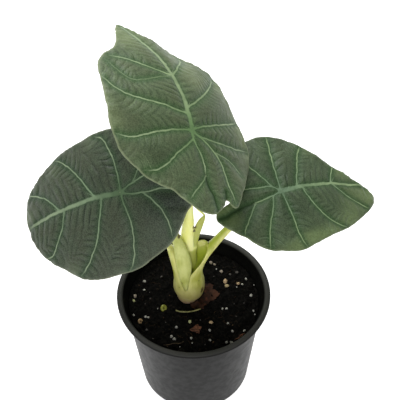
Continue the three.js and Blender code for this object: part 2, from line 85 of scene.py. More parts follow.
def new_piece(name, points, faces, edges=()):
    """A piece from points in millimetres."""
    mesh = bpy.data.meshes.new(name)
    mesh.from_pydata([tuple(p) for p in np.asarray(points, float) * MM], list(edges), faces)
    piece = bpy.data.objects.new(name, mesh)
    bpy.context.collection.objects.link(piece)
    pick(piece)
    return piece


def face_outward():
    """Turns all faces of the active piece, which is in edit mode, outward and leaves that mode."""
    bpy.ops.mesh.select_all(action="SELECT")
    bpy.ops.mesh.normals_make_consistent(inside=False)
    bpy.ops.object.mode_set(mode="OBJECT")


def turned(name, outline, steps):
    """Spins an outline of radius and height pairs round the z axis into a closed piece."""
    edges = [(i, i + 1) for i in range(len(outline) - 1)]
    piece = new_piece(name, [(radius, 0, height) for radius, height in outline], [], edges)
    bpy.ops.object.mode_set(mode="EDIT")
    bpy.ops.mesh.select_all(action="SELECT")
    bpy.ops.mesh.spin(steps=steps, angle=2 * math.pi, center=(0, 0, 0), axis=(0, 0, 1))
    bpy.ops.mesh.select_all(action="SELECT")
    bpy.ops.mesh.remove_doubles(threshold=0.01 * MM)
    face_outward()
    return piece


def cut(piece, tool, operation="DIFFERENCE"):
    """Cuts a tool out of a piece, or joins it on, and puts the tool away."""
    modified(piece, "BOOLEAN", operation=operation, solver="MANIFOLD", object=tool)
    bpy.data.objects.remove(tool)


def colour(red, green, blue):
    """A colour as it looks on a screen, from 0 to 255, turned into light."""
    share = np.array((red, green, blue)) / 255
    light = np.where(share > 0.04045, ((share + 0.055) / 1.055) ** 2.4, share / 12.92)
    return (*light.tolist(), 1)


class Finish:
    """A material that is put together from plain steps on the place in the object."""

    def __init__(self, name, roughness, level=0.5):
        self.material = bpy.data.materials.new(name)
        self.material.use_nodes = True
        self.tree = self.material.node_tree
        self.surface = self.tree.nodes["Principled BSDF"]
        self.paint("Roughness", roughness)
        self.paint("Specular IOR Level", level)
        self.place = self.step("TexCoord", "Object", {})

    def feed(self, socket, value):
        """Gives an input a plain value, or links it to the output of another step."""
        if isinstance(value, bpy.types.NodeSocket):
            self.tree.links.new(value, socket)
        else:
            socket.default_value = value

    def paint(self, name, value):
        """Feeds an input of the surface by its name."""
        self.feed(self.surface.inputs[name], value)

    def step(self, kind, output, inputs, **settings):
        """Adds a step with its settings and inputs, and returns one of its outputs."""
        node = self.tree.nodes.new("ShaderNode" + kind)
        for name, value in settings.items():
            setattr(node, name, value)
        for name, value in inputs.items():
            self.feed(node.inputs[name], value)
        return node.outputs[output]

    def scaled(self, size, stretch=(1, 1, 1)):
        """The place in units of a size in millimetres."""
        scale = [1 / (size * MM * longer) for longer in stretch]
        return self.step("Mapping", "Vector", {"Vector": self.place, "Scale": scale})

    def grain(self, size, detail=3, stretch=(1, 1, 1)):
        """Soft random patches whose size is in millimetres. The stretch makes them longer."""
        inputs = {"Vector": self.scaled(size, stretch), "Scale": 1, "Detail": detail, "Roughness": 0.55}
        return self.step("TexNoise", "Fac", inputs)

    def net(self, size):
        """A fine net whose cells have a size in millimetres: 0 on its threads, more inside a cell."""
        inputs = {"Vector": self.scaled(size), "Scale": 1}
        return self.step("TexVoronoi", "Distance", inputs, feature="DISTANCE_TO_EDGE")

    def stored(self, name):
        """A value that the piece's mesh keeps at each point."""
        return self.step("Attribute", "Fac", {}, attribute_name=name)

    def along(self, axis):
        """The place along one axis, in metres."""
        return self.step("SeparateXYZ", axis, {"Vector": self.place})

    def rise(self, value, low, high, start=0.0, end=1.0):
        """Goes from start to end while the value goes from low to high."""
        inputs = {"Value": value, "From Min": low, "From Max": high, "To Min": start, "To Max": end}
        return self.step("MapRange", "Result", inputs, interpolation_type="SMOOTHSTEP")

    def times(self, first, second):
        """The product of two values."""
        return self.step("Math", "Value", {0: first, 1: second}, operation="MULTIPLY")

    def mix(self, share, first, second):
        """Goes from the first colour to the second by the share."""
        return self.step("Mix", 2, {"Factor": share, 6: first, 7: second}, data_type="RGBA")

    def two_tones(self, value, low, high, first, second):
        """Goes from the first screen tone to the second while the value goes from low to high."""
        return self.mix(self.rise(value, low, high), colour(*first), colour(*second))

    def relief(self, height, depth, strength):
        """Makes the surface look raised by the height, with a depth in millimetres."""
        inputs = {"Strength": strength, "Distance": depth * MM, "Height": height}
        normal = self.surface.inputs["Normal"]
        if normal.is_linked:
            inputs["Normal"] = normal.links[0].from_socket
        self.paint("Normal", self.step("Bump", "Normal", inputs))


def finished(piece, finish, slot, *nodes):
    """Gives a piece its material and hides the nodes that it stands for. Its slot is not used."""
    piece.data.materials.clear()
    piece.data.materials.append(finish.material)
    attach(piece, "root")
    if nodes:
        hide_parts(*nodes)


pot_plastic = Finish("pot_plastic", 0.4, 0.05)
scuffs = pot_plastic.grain(14, 3, (1, 1, 3))
shade = pot_plastic.two_tones(scuffs, 0.3, 0.8, (11, 11, 10), (16, 16, 15))
# The flat of the rim is painted lighter between these heights: a painted highlight where it catches the
# light
painted_rim_highlight = pot_plastic.rise(pot_plastic.along("Z"), RIM_EDGE * MM, RIM_TOP * MM, 0, 0.8)
pot_plastic.paint("Base Color", pot_plastic.mix(painted_rim_highlight, shade, colour(68, 68, 65)))
pot_plastic.paint("Roughness", pot_plastic.rise(pot_plastic.grain(5, 2), 0.3, 0.7, 0.36, 0.44))

pot = turned("nursery_pot", POT_OUTLINE, POT_STEPS)
modified(pot, "BEVEL", limit_method="ANGLE", angle_limit=math.radians(EDGE_ANGLE),
         width=EDGE_ROUND * MM, segments=2)
for hole in range(DRAIN_HOLES):
    turn = hole / DRAIN_HOLES * 2 * math.pi
    bpy.ops.mesh.primitive_cylinder_add(
        vertices=32, radius=DRAIN_RADIUS * MM, depth=12 * MM,
        location=(DRAIN_RING * MM * math.cos(turn), DRAIN_RING * MM * math.sin(turn), 0))
    cut(pot, bpy.context.active_object)
bpy.ops.object.shade_smooth_by_angle(angle=math.radians(SMOOTH_ANGLE))
finished(pot, pot_plastic, "pot_plastic", "pot")


# The potting mix
# Dark moist peat that fills the pot to about 9 mm under the rim. Its top is loose and crumbly, and
# the crown of the plant stands in a plain hollow in it.

MIX_LEVEL = 85
MIX_RADIUS = 47.06  # just short of the pot's wall
MOUTH_RADIUS = 49.3
WALL_SINK = 1.4  # how much lower the mix lies at the mouth's edge
MIX_STEPS = 360
MIX_RINGS = 74
CROWN = (-3, 5)  # x and y of the short stem under the bulb
CROWN_HOLLOW = [(0, 56), (9, 58), (9, 80), (6.3, 83.6), (0, 83.6)]
FOOT = (-4.2, 3.6)  # x and y of the foot of the bulb
FOOT_HOLLOW = [(0, 83.4), (6.2, 83.4), (8.4, 86.3), (10.6, 90.7), (0, 90.7)]


def mix_level(x, y):
    """The height of the mix without its crumbs, in millimetres."""
    swell = 0.55 * math.sin(0.62 * x + 1.3) * math.cos(0.55 * y - 0.4)
    swell += 0.4 * math.sin(0.29 * x - 0.47 * y + 2) + 0.35 * math.cos(0.83 * x + 0.71 * y)
    return MIX_LEVEL + swell - WALL_SINK * (math.hypot(x, y) / MOUTH_RADIUS) ** 4


def crumb(x, y, size):
    """A rounded lump in each cell of a random net, from 0 to 1."""
    near = noise.voronoi(Vector((x / size, y / size, 0.5)))[0][0]
    return max(0, 1 - (near / 0.62) ** 2)


def mix_top(x, y):
    """The height of the mix with its crumbs, in millimetres."""
    loose = noise.fractal(Vector((x / 4.5, y / 4.5, 2)), 0.8, 2.1, 4)
    lumps = 0.75 * crumb(x, y, 2.6) + 0.4 * crumb(x + 31, y, 1.3) - 0.45
    return mix_level(x, y) + 0.55 * loose + lumps


mix_outline = [(0, 2.5), (35.2, 2.5), (39, 5.9)]
mix_outline += [(MIX_RADIUS * (1 - ring / MIX_RINGS), MIX_LEVEL) for ring in range(MIX_RINGS + 1)]
mix = turned("potting_mix", mix_outline, MIX_STEPS)
for point in mix.data.vertices:
    if point.co.z > (MIX_LEVEL - 0.01) * MM:
        x, y = point.co.x / MM, point.co.y / MM
        wall = min(1, (MIX_RADIUS - math.hypot(x, y)) / 1.5)
        point.co.z = (mix_level(x, y) + wall * (mix_top(x, y) - mix_level(x, y))) * MM
for (x, y), outline in ((CROWN, CROWN_HOLLOW), (FOOT, FOOT_HOLLOW)):
    hollow = turned("hollow", outline, 48)
    hollow.location = (x * MM, y * MM, 0)
    cut(mix, hollow)
bpy.ops.object.shade_smooth()

peat = Finish("peat", 0.95, 0.06)
tone = peat.two_tones(peat.grain(2.2, 5), 0.42, 0.7, (5, 5, 4), (20, 18, 16))
flecks = peat.rise(peat.grain(0.5, 2), 0.62, 0.74, 0, 0.4)
peat.paint("Base Color", peat.mix(flecks, tone, colour(44, 38, 32)))
peat.relief(peat.grain(0.6, 4), 0.5, 0.9)
finished(mix, peat, "potting_mix", "soil")


# Loose crumbs and fibres
# Small broken bits of peat and bark, and a few threads of coir, that lie loose on the mix.

CRUMBS = 950
FIBRES = 46
strew = random.Random(21)


def stone_shape(detail):
    """The points and faces of a small round body, which is copied for every grain or crumb."""
    bpy.ops.mesh.primitive_ico_sphere_add(subdivisions=detail, radius=1)
    ball = bpy.context.active_object
    points = np.array([p.co for p in ball.data.vertices])
    faces = [list(face.vertices) for face in ball.data.polygons]
    bpy.data.objects.remove(ball)
    return points, faces


def store(piece, name, values):
    """Keeps a value at each point of a piece for its material to read."""
    data = piece.data.attributes.new(name, "FLOAT", "POINT").data
    data.foreach_set("value", np.asarray(values, np.float32))


def strewn(name, shape, places):
    """One piece with a copy of the shape at each place: its centre, radii, turn, roughness, tone."""
    points, faces = shape
    all_points, all_faces, tones = [], [], []
    for centre, radii, turn, rough, shade in places:
        lumps = np.array([1 + strew.uniform(-rough, rough) for _ in points])[:, None]
        spun = Matrix.Rotation(turn, 3, "Z") @ Matrix.Rotation(turn * 2.3, 3, "X")
        start = len(all_points)
        all_points += list((points * lumps * radii) @ np.array(spun).T + centre)
        all_faces += [[start + i for i in face] for face in faces]
        tones += [shade] * len(points)
    piece = new_piece(name, all_points, all_faces)
    store(piece, "tone", tones)
    return piece


def open_place(low, high):
    """A random place on the mix, at least low from the crown and at most high from the pot's axis."""
    while True:
        reach, turn = 46 * math.sqrt(strew.random()), strew.uniform(0, 2 * math.pi)
        x, y = reach * math.cos(turn), reach * math.sin(turn)
        if math.hypot(x - CROWN[0], y - CROWN[1]) > low and reach < high:
            return x, y


places = []
for _ in range(CRUMBS):
    x, y = open_place(11.5, 45.5)
    size = 0.35 + 0.75 * strew.random() ** 3
    radii = (size * strew.uniform(0.8, 1.5), size, size * strew.uniform(0.5, 0.9))
    places.append(((x, y, mix_top(x, y) + 0.2 * size), radii, strew.uniform(0, 6), 0.22, strew.random()))
crumbs = strewn("mix_crumbs", stone_shape(1), places)

crumb_bark = Finish("crumb_bark", 0.9, 0.08)
tone = crumb_bark.stored("tone")
dark = crumb_bark.two_tones(tone, 0.5, 1, (7, 6, 5), (30, 25, 20))
few = crumb_bark.rise(tone, 0.985, 0.995)
crumb_bark.paint("Base Color", crumb_bark.mix(few, dark, colour(74, 58, 42)))
crumb_bark.relief(crumb_bark.grain(0.3, 3), 0.15, 0.8)
finished(crumbs, crumb_bark, "potting_mix", "soil")


def smooth_through(stops, shares, closed=False):
    """Places along a smooth curve through the stops, at shares of it from 0 to 1."""
    stops = np.asarray(stops, float)
    count = len(stops)
    place = np.asarray(shares) * (count if closed else count - 1)
    start = np.floor(place).astype(int)
    if closed:
        corners = [stops[(start + k) % count] for k in (-1, 0, 1, 2)]
    else:
        start = np.minimum(start, count - 2)
        padded = np.vstack([2 * stops[0] - stops[1], stops, 2 * stops[-1] - stops[-2]])
        corners = [padded[start + k] for k in (0, 1, 2, 3)]
    a, b, c, d = corners
    gaps = [np.linalg.norm(q - p, axis=1)[:, None] ** 0.5 for p, q in ((a, b), (b, c), (c, d))]
    middle = np.where(gaps[1] < 1e-4, 1, gaps[1])
    first = np.where(gaps[0] < 1e-4, middle, gaps[0])
    last = np.where(gaps[2] < 1e-4, middle, gaps[2])
    leave = ((b - a) / first - (c - a) / (first + middle) + (c - b) / middle) * middle
    reach = ((c - b) / middle - (d - b) / (middle + last) + (d - c) / last) * middle
    t = (place - start)[:, None]
    cubic = (2 * b - 2 * c + leave + reach) * t ** 3
    return cubic + (3 * c - 3 * b - 2 * leave - reach) * t ** 2 + leave * t + b


def girths(stations, shares):
    """Half width and half depth at shares of a limb. A station may give one number for both."""
    return smooth_through([(*station[3:], *station[3:])[:2] for station in stations], shares)


def limb(name, stations, sides=40, steps=120, grow=0.0):
    """A closed round or oval stalk. A station is x, y, z, half width across and half depth."""
    shares = np.linspace(0, 1, steps + 1)
    stops = np.array([station[:3] for station in stations])
    centre = smooth_through(stops, shares)
    half = np.maximum(girths(stations, shares), 0.02) + grow
    ahead = smooth_through(stops, np.minimum(shares + 1e-4, 1))
    ahead -= smooth_through(stops, np.maximum(shares - 1e-4, 0))
    ahead /= np.linalg.norm(ahead, axis=1)[:, None]
    across = np.cross(ahead, (0, 1, 0))
    across /= np.linalg.norm(across, axis=1)[:, None]
    through = np.cross(across, ahead)
    centre[0] -= ahead[0] * grow
    centre[-1] += ahead[-1] * grow
    turn = np.arange(sides) / sides * 2 * math.pi
    ring = centre[:, None] + across[:, None] * (half[:, :1] * np.sin(turn))[..., None]
    ring += through[:, None] * (half[:, 1:] * np.cos(turn))[..., None]
    faces = [list(range(sides))[::-1], [steps * sides + i for i in range(sides)]]
    for step in range(steps):
        for i in range(sides):
            j = (i + 1) % sides
            low, high = step * sides, (step + 1) * sides
            faces.append([low + i, low + j, high + j, high + i])
    return new_piece(name, ring.reshape(-1, 3), faces)


def joined(name, parts):
    """Puts several pieces together as one piece."""
    bpy.ops.object.select_all(action="DESELECT")
    for part in parts:
        part.select_set(True)
    bpy.context.view_layer.objects.active = parts[0]
    bpy.ops.object.join()
    parts[0].name = parts[0].data.name = name
    return parts[0]


def lying(points, girth, lift, rest=mix_top):
    """Stations of a thread along points seen from above, a lift over what it rests on."""
    path = smooth_through([(x, y, 0) for x, y in points], np.linspace(0, 1, 3 * len(points)))
    return [(x, y, rest(x, y) + lift + girth, girth) for x, y, _ in path]


threads = []
for number in range(FIBRES):
    x, y = open_place(15, 40)
    turn, length = strew.uniform(0, 2 * math.pi), strew.uniform(3, 9)
    points = []
    for _ in range(4):
        points.append((x, y))
        turn += strew.uniform(-0.7, 0.7)
        x, y = x + length / 3 * math.cos(turn), y + length / 3 * math.sin(turn)
        short = min(1, 45 / math.hypot(x, y))
        x, y = x * short, y * short
    girth = strew.uniform(0.08, 0.16)
    threads.append(limb(f"fibre_{number}", lying(points, girth, 0.1), 5, 14))
fibres = joined("mix_fibres", threads)
coir = Finish("coir", 0.8, 0.12)
coir.paint("Base Color", coir.two_tones(coir.grain(5), 0.4, 0.6, (22, 17, 12), (58, 42, 28)))
finished(fibres, coir, "potting_mix", "soil")
bpy.ops.object.shade_smooth()


# The perlite
# Light puffed grains that were stirred into the mix and show on its top, most of them white, some
# stained by the peat. Two are hollow beads of used plant food.

PERLITE = [  # x, y, radius, and how stained: 0 white, 0.35 greenish, 0.6 tan, 0.8 dull brown, 1 grey
    (-42.5, 4.5, 1.3, 0.8), (-43.3, 0.5, 1, 0.35), (-36, 17, 1.1, 0), (-36, 10, 1, 0),
    (-43, -12.5, 0.9, 0), (-34.5, -14, 0.9, 0), (-32.5, -14.7, 0.8, 0), (-33.5, -25, 0.9, 1),
    (-3, -19, 1.3, 0.35), (12, -20.5, 1.3, 0.6), (11, -26, 1, 0), (-12.5, -23.5, 0.9, 0),
    (-2, -33, 0.9, 0), (11, -35, 0.8, 0), (-16, -31, 1.1, 0), (-14, -33.3, 1.1, 0),
    (24, -21, 0.8, 0), (27, -27.5, 0.9, 0), (35.5, -27.5, 1, 0), (22.5, -37, 0.9, 0),
    (26, -37.5, 1, 0), (20.5, -8.5, 0.8, 0), (23.5, -8.5, 0.8, 0), (42.5, -10.5, 0.8, 0),
    (41.5, 3, 1.1, 0), (35.5, 13.5, 0.9, 0), (32.5, 14, 1.2, 0.6), (23.2, 15.6, 1.7, 0.6),
    (24.2, 12.4, 1.5, 0.57), (38.5, 18.5, 1, 0), (32, 24, 1.1, 1), (20.5, 25, 1.2, 0.8),
    (13, 33.9, 1.2, 0.8), (15.7, 32.5, 0.9, 0.8), (27, 23, 0.8, 1), (-23.5, 22, 0.8, 1),
    (-10, 32, 1.2, 0), (3, 25, 1, 0),
]
CHIPS_OF_PERLITE = [  # the smallest ones: x, y, radius, stain
    (31.5, 11, 0.55, 0), (44, 13, 0.5, 0), (-32, 7.5, 0.4, 1), (-31.5, 1.5, 0.4, 1),
    (-35, -3, 0.4, 1), (-26, -7, 0.4, 0), (-14.5, -6.5, 0.45, 0), (-29, -32.5, 0.5, 1),
    (4.5, -17.5, 0.45, 1), (-1.5, -37, 0.5, 0), (7.5, -38.5, 0.45, 1), (-12, -40.5, 0.4, 0),
    (-10, -39.5, 0.42, 0), (43.5, -13.5, 0.5, 0), (30, -14.5, 0.4, 1), (17, 27.5, 0.5, 0),
    (15, 21, 0.4, 1), (29, -4, 0.35, 1), (-20, -19, 0.35, 1), (36, -4, 0.35, 1),
]
STAINS = [  # how stained a grain is where the stain begins and where it is full, and its tone
    (0.2, 0.3, (176, 178, 128)), (0.48, 0.62, (184, 156, 122)),
    (0.7, 0.76, (150, 138, 124)), (0.9, 0.96, (84, 80, 76)),
]
BEADS = [(-21.6, -7, 1.56, 1.125, 0.42), (-38.2, -17.7, 1.26, 0.7125, 0.65)]  # x, y, ring, girth, stain
BEAD_TILT = (0.75, 0.3, 0.7)

grains = []
for x, y, radius, stain in PERLITE:
    radii = (1.12 * radius, 0.95 * radius, 0.85 * radius)
    grains.append(((x, y, mix_level(x, y) + 0.2 * radius), radii, x * 1.7 + y, 0.16, stain))
for x, y, radius, stain in CHIPS_OF_PERLITE:
    grains.append(((x, y, mix_top(x, y) + 0.4 * radius), (radius,) * 3, x + y, 0.2, stain))
perlite = strewn("perlite_grains", stone_shape(3), grains)
bpy.ops.object.shade_smooth()

puffed = Finish("puffed_glass", 0.8, 0.35)
stain = puffed.stored("tone")
shade = puffed.two_tones(puffed.grain(1, 3), 0.35, 0.65, (136, 134, 126), (190, 188, 180))
for begins, full, tone in STAINS:
    shade = puffed.mix(puffed.rise(stain, begins, full), shade, colour(*tone))
pores = puffed.rise(puffed.grain(0.7, 2), 0.56, 0.7, 0, 0.75)
puffed.paint("Base Color", puffed.mix(pores, shade, colour(60, 50, 40)))
puffed.relief(puffed.grain(0.35, 3), 0.2, 0.9)
finished(perlite, puffed, "potting_mix", "soil")

rings = []
for x, y, ring, girth, stain in BEADS:
    bpy.ops.mesh.primitive_torus_add(
        major_segments=28, minor_segments=14, major_radius=ring * MM, minor_radius=girth * MM,
        location=(x * MM, y * MM, (mix_top(x, y) + 0.5 * ring) * MM), rotation=BEAD_TILT)
    bead = bpy.context.active_object
    bpy.ops.object.transform_apply(location=True, rotation=True, scale=True)
    store(bead, "tone", [stain] * len(bead.data.vertices))
    rings.append(bead)
beads = joined("spent_beads", rings)
bpy.ops.object.shade_smooth()
shell = Finish("bead_shell", 0.4, 0.5)
shell.paint("Base Color", shell.two_tones(shell.stored("tone"), 0.5, 0.6, (128, 130, 48), (164, 134, 96)))
shell.relief(shell.grain(0.5, 3), 0.1, 0.6)
finished(beads, shell, "potting_mix", "soil")


# The bark chips
# Two scraps of composted bark: one flat on the mix before the plant, one against the pot's wall.

CHIPS = [  # name, node, x, y, length, width, height, turn in degrees
    ("bark_scrap", "bark_chip_middle", 1.2, -26.6, 8.6, 7, 1.4, 8),
    ("bark_sliver", "bark_chip_rim", 31.8, -33.2, 10.4, 1.7, 1.3, 38),
]
CHIP_OUTLINE = [(-0.5, 0.08), (-0.28, -0.08), (-0.1, -0.22), (0.06, -0.42), (0.24, -0.5), (0.26, -0.22),
                (0.42, -0.02), (0.5, 0.2), (0.34, 0.32), (0.14, 0.5), (-0.04, 0.36), (-0.26, 0.24)]
CHIP_POINTS = 33
CHIP_STEP = 0.16  # the width of the faces of a chip
CHIP_TILT = 7

bark = Finish("bark", 0.85, 0.3)
layers = bark.grain(2.2, 5, (2.2, 0.5, 0.5))
bark.paint("Base Color", bark.two_tones(layers, 0.35, 0.7, (56, 34, 24), (128, 82, 58)))
bark.relief(layers, 0.5, 0.9)
bark.relief(bark.grain(0.4, 3), 0.15, 0.6)

for name, node, x, y, length, width, height, turn in CHIPS:
    corners = [(u * length, v * width) for u, v in CHIP_OUTLINE]
    outline = smooth_through(corners, np.arange(CHIP_POINTS) / CHIP_POINTS, closed=True)
    chip = new_piece(name, [(u, v, 0) for u, v in outline], [list(range(CHIP_POINTS))])
    bpy.ops.object.mode_set(mode="EDIT")
    bpy.ops.mesh.select_all(action="SELECT")
    bpy.ops.mesh.extrude_region_move(TRANSFORM_OT_translate={"value": (0, 0, height * 0.8 * MM)})
    face_outward()
    modified(chip, "REMESH", mode="VOXEL", voxel_size=CHIP_STEP * MM)
    around = Matrix.Rotation(math.radians(turn), 3, "Z") @ Matrix.Rotation(math.radians(CHIP_TILT), 3, "X")
    for point in chip.data.vertices:
        u, v, w = point.co / MM
        rough = noise.fractal(Vector((u * 0.5, v * 1.4, w + x)), 0.7, 2, 4)
        bent = w + 0.5 * rough + 0.25 * math.sin(0.9 * u + x)
        spot = around @ Vector((u + 0.25 * rough, v + 0.3 * rough, bent))
        point.co = (spot + Vector((x, y, mix_level(x, y) + 0.55))) * MM
    pick(chip)
    bpy.ops.object.shade_smooth()
    finished(chip, bark, "bark", node)


# The loose strands
# A shed strip of green stalk skin lies in an arc before the bulb, and a dry brown fibre near the rim.

GREEN_PATH = [(-12.9, -10), (-10.4, -10.9), (-5, -11.4), (0.2, -10.6), (4.8, -9)]
BROWN_PATH = [(-21.4, -38.6), (-16.9, -38.1), (-12.3, -37.5), (-7.6, -36.2)]

green = limb("green_strip", lying(GREEN_PATH, 0.5, 0.7, lambda x, y: MIX_LEVEL), 14, 60)
fading = Finish("fading_skin", 0.5, 0.4)
fading.paint("Base Color", fading.two_tones(fading.grain(3, 3), 0.35, 0.65, (110, 108, 62), (144, 140, 90)))
finished(green, fading, "strand", "green_strand")
bpy.ops.object.shade_smooth()

brown = limb("dry_fibre", lying(BROWN_PATH, 0.26, 0.3), 10, 50)
dry = Finish("dry_fibre", 0.75, 0.3)
dry.paint("Base Color", dry.two_tones(dry.grain(2, 3), 0.35, 0.65, (54, 42, 30), (92, 76, 54)))
finished(brown, dry, "bark", "dry_strand")
bpy.ops.object.shade_smooth()


# The corm
# The short underground stem with its thick roots. It stands in the mix, out of sight.

corm_skin = Finish("corm_skin", 0.8, 0.3)
fibrous = corm_skin.grain(3, 4, (1, 1, 0.4))
corm_skin.paint("Base Color", corm_skin.two_tones(fibrous, 0.35, 0.65, (140, 104, 74), (196, 164, 124)))
corm_skin.relief(corm_skin.grain(1, 3), 0.3, 0.7)
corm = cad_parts["corm"]
corm.data.materials.clear()
corm.data.materials.append(corm_skin.material)


# The leaf stalks
# Three fleshy stalks, each a sheath that wraps the next one at its foot. The oldest makes the
# bulb and opens in a throat, the second rises in front, and the youngest, palest one stands behind.

LEAF_POSES = {  # the joint with the stalk, then heading, droop and roll in degrees
    "top": ((1.9, 25.0, 232.5), 105, -27, 32),
    "left": ((-47.7, 20.0, 179.9), 179, 27, -34),
    "right": ((61.3, 23.0, 175.4), 19, 13, 15),
}
SHEATH_GAP = -0.1  # a stalk reaches this little into the sheath round it
SKIN_STEP = 0.36  # the width of the faces of a stalk


def leaf_axes(pose):
    """The joint of a blade, and the directions to its tip, to its left and out of its upper face."""
    joint, *angles = pose
    heading, droop, roll = map(math.radians, angles)
    level_share, sinking = math.cos(droop), -math.sin(droop)
    ahead = np.array([math.cos(heading) * level_share, math.sin(heading) * level_share, sinking])
    level = np.cross((0, 0, 1), ahead)
    level /= np.linalg.norm(level)
    left = level * math.cos(roll) + np.cross(ahead, level) * math.sin(roll)
    return np.array(joint), ahead, left, np.cross(ahead, left)


def under_joint(leaf, depth, girth):
    """A station on the blade's own axis, a depth under its upper face."""
    joint, _, _, out = leaf_axes(LEAF_POSES[leaf])
    return (*(joint - depth * out), girth)


OUTER_STALK = [
    (-4.2, 3.6, 84.3, 5.4, 6.4), (-4.2, 3.6, 86.5, 7.8, 7.9), (-3.4, 4.5, 91, 10.3, 9.8),
    (-3.1, 5, 97, 11.3, 10.8), (-3, 5, 103, 10.9, 10.6), (-2.9, 5, 109, 9.8, 10),
    (-1.8, 5, 116, 8.9, 9.1), (1.8, 4.6, 125, 7.2, 7.5), (6.8, 4.8, 132.4, 5.3, 5.8),
    (12.5, 5.5, 138.5, 3.3, 4), (17.5, 7.1, 144.6, 2.9, 3.2), (25.8, 10, 153.8, 2.6, 2.7),
    (38, 14.3, 164.3, 2.4), (50, 18.2, 171.6, 2.5),
    under_joint("right", 4, 2.8), under_joint("right", 2.1, 2.6),
]
LEFT_LOBE = [
    (-3, 5, 96, 8.2), (-4, 5, 104, 9.6), (-5.5, 4.6, 112, 8.6), (-8, 4.3, 120, 6.8, 7),
    (-11, 4.1, 128, 4.8, 5.6), (-14, 4.3, 136, 3, 4.3), (-16.4, 4.7, 142, 1.6, 2.7),
    (-18, 5.2, 146, 0.5, 0.8),
]
EAR = [
    (-2, 8, 108, 5, 4), (1, 9, 120, 4.8, 3), (4.2, 9.2, 130, 4.9, 2.3), (6.2, 9.1, 135.5, 4.6, 1.8),
    (7.1, 8.9, 138.6, 4, 1.5), (7.3, 8.7, 140.6, 2.9, 1.1), (7.3, 8.6, 141.8, 1.3, 0.6),
]
THROAT = [
    (-4.6, 2.5, 92, 2, 2.2), (-4.8, 0.6, 100, 2.2, 3.9), (-5.3, -1, 106, 2.5, 5.4),
    (-5.6, 0.2, 111.5, 4, 6.6), (-5.6, 1.7, 118, 5.3, 8.2), (-3.8, 2.6, 125, 7.9, 8),
    (-2.3, 3, 130.6, 10.3, 7.3), (-0.9, 3.3, 136, 11.3, 6), (-1, 3.6, 140, 11.2, 5.6),
    (-1.4, 4, 144, 9.6, 5.2), (-1.5, 4, 150, 8, 5),
]
FRONT_STALK = [
    (-4, 2, 84.3, 2.4, 2), (-4, 1.2, 90, 3.2, 3), (-4.5, -0.1, 98, 2.6, 3.8), (-5.2, -0.9, 105, 2.6, 4.2),
    (-5.6, -0.9, 112, 4, 4.2), (-5.8, -1, 118.5, 4.8, 4.1), (-6.1, -0.8, 127, 5.3, 3.7),
    (-7.2, 0.4, 136.6, 5.1, 3.3), (-9.7, 3, 147, 3.8, 2.9), (-14.5, 6.4, 157.5, 2.9, 2.7),
    (-23, 11, 167.5, 2.5), (-34, 17, 174, 2.4), (-42.5, 22, 175.8, 2.5),
    under_joint("left", 3.4, 2.8), under_joint("left", 2.1, 2.6),
]
YOUNG_STALK = [
    (-3.3, 6.4, 84.6, 2.2, 1.8), (-3.3, 6.4, 87, 2.8, 2.3), (-3, 7.4, 92, 3.8, 3),
    (-2.2, 7.2, 105, 4.4, 3.5), (-1.6, 6.6, 118, 4.7, 3.9), (-2.1, 6.9, 131, 4.7, 3.6),
    (-3.2, 7.9, 143, 4.7, 3.3),
    (-3, 9.2, 152, 4.3, 3.1), (-2.2, 10.8, 160, 3.7, 3), (-2, 12.6, 168, 3.2, 2.9),
    (-1.6, 17.4, 185, 2.8), (-1.6, 22.2, 203, 2.6), (-1.3, 25.2, 217, 2.6),
    under_joint("top", 4, 2.9), under_joint("top", 2.1, 2.7),
]
SHEATH_WING = [
    (-0.4, 6.4, 116, 1.6, 1.8), (0.6, 6.6, 126, 1.9, 2), (0.9, 7, 134, 2, 1.9),
    (1.6, 7.8, 141, 2.2, 1.8), (2.5, 8.6, 147, 2.5, 1.6), (3.8, 9.6, 152, 2.6, 1.4),
    (5.3, 10.6, 156.4, 2.5, 1.2), (7.1, 11.5, 160.4, 2, 0.9), (8.6, 12.2, 163, 1, 0.6),
]
SHEATH_THREAD = [
    (8.3, 12.1, 162.4, 0.65), (8.5, 12.6, 163.6, 0.7), (7.7, 13.5, 164.1, 0.65),
    (6.1, 14.5, 165, 0.58), (4.5, 15.5, 165.8, 0.5), (3.4, 16.5, 166.4, 0.4),
]
COLLAR = [
    (-2.2, 7.1, 120, 4.1, 3.2), (-2.3, 7.1, 130, 4.85, 3.8), (-2.7, 7.4, 135.4, 5.05, 3.9),
    (-2.8, 7.5, 136.7, 4.7, 3.6), (-2.85, 7.5, 137.4, 3.6, 2.6),
]
COLLAR_TOP = 137.3  # the young stalk is greener below this height
RIM_WIDTH = 1.1  # the width of the pale rim round the throat
THROAT_GREEN = (3, 137)  # the x and z from which the throat gets greener to the right and downwards
THROAT_RATE = 0.075
BACK_GREEN = 0.85  # how green the upper side of the outer stalk is, right of the next x
BACK_FROM = 7
SPECK_SHAPE = (1, 2, 1.3)  # how far a speck reaches along x, y and z, in its own radii
SPECKS = [  # small brown marks on the skin: x, y, z, radius
    (-8, -5.3, 110.8, 0.75), (-7.6, -5.3, 109.8, 0.5), (6.3, -2.2, 97.5, 1.3),
    (6.4, -1.8, 99.4, 1.1), (1.9, 8.4, 155.6, 1.3), (1.5, 7.9, 152.4, 0.9),
    (-4.6, 3.4, 138.8, 0.9), (-8.9, 3.2, 153, 1), (-4, -4.6, 94, 0.4),
    (4, -2, 110, 0.4), (-10, -3, 104, 0.35), (11, 6.5, 141.5, 0.6),
]
STALK_TONES = {  # pale streaks, full skin, greener parts, low on the bulb, and the foot at the mix
    "stalk_skin": ((212, 211, 132), (172, 176, 70), (172, 184, 60), (186, 176, 108), (140, 114, 96)),
    "front_skin": ((204, 208, 130), (172, 179, 84), (150, 170, 60), (172, 168, 96), (150, 130, 100)),
    "young_skin": ((246, 246, 172), (236, 236, 134), (176, 181, 88), (160, 168, 72), (206, 190, 150)),
}
LOW_FROM = 110  # the heights between which the skin takes the tone low on the bulb
LOW_FULL = 94
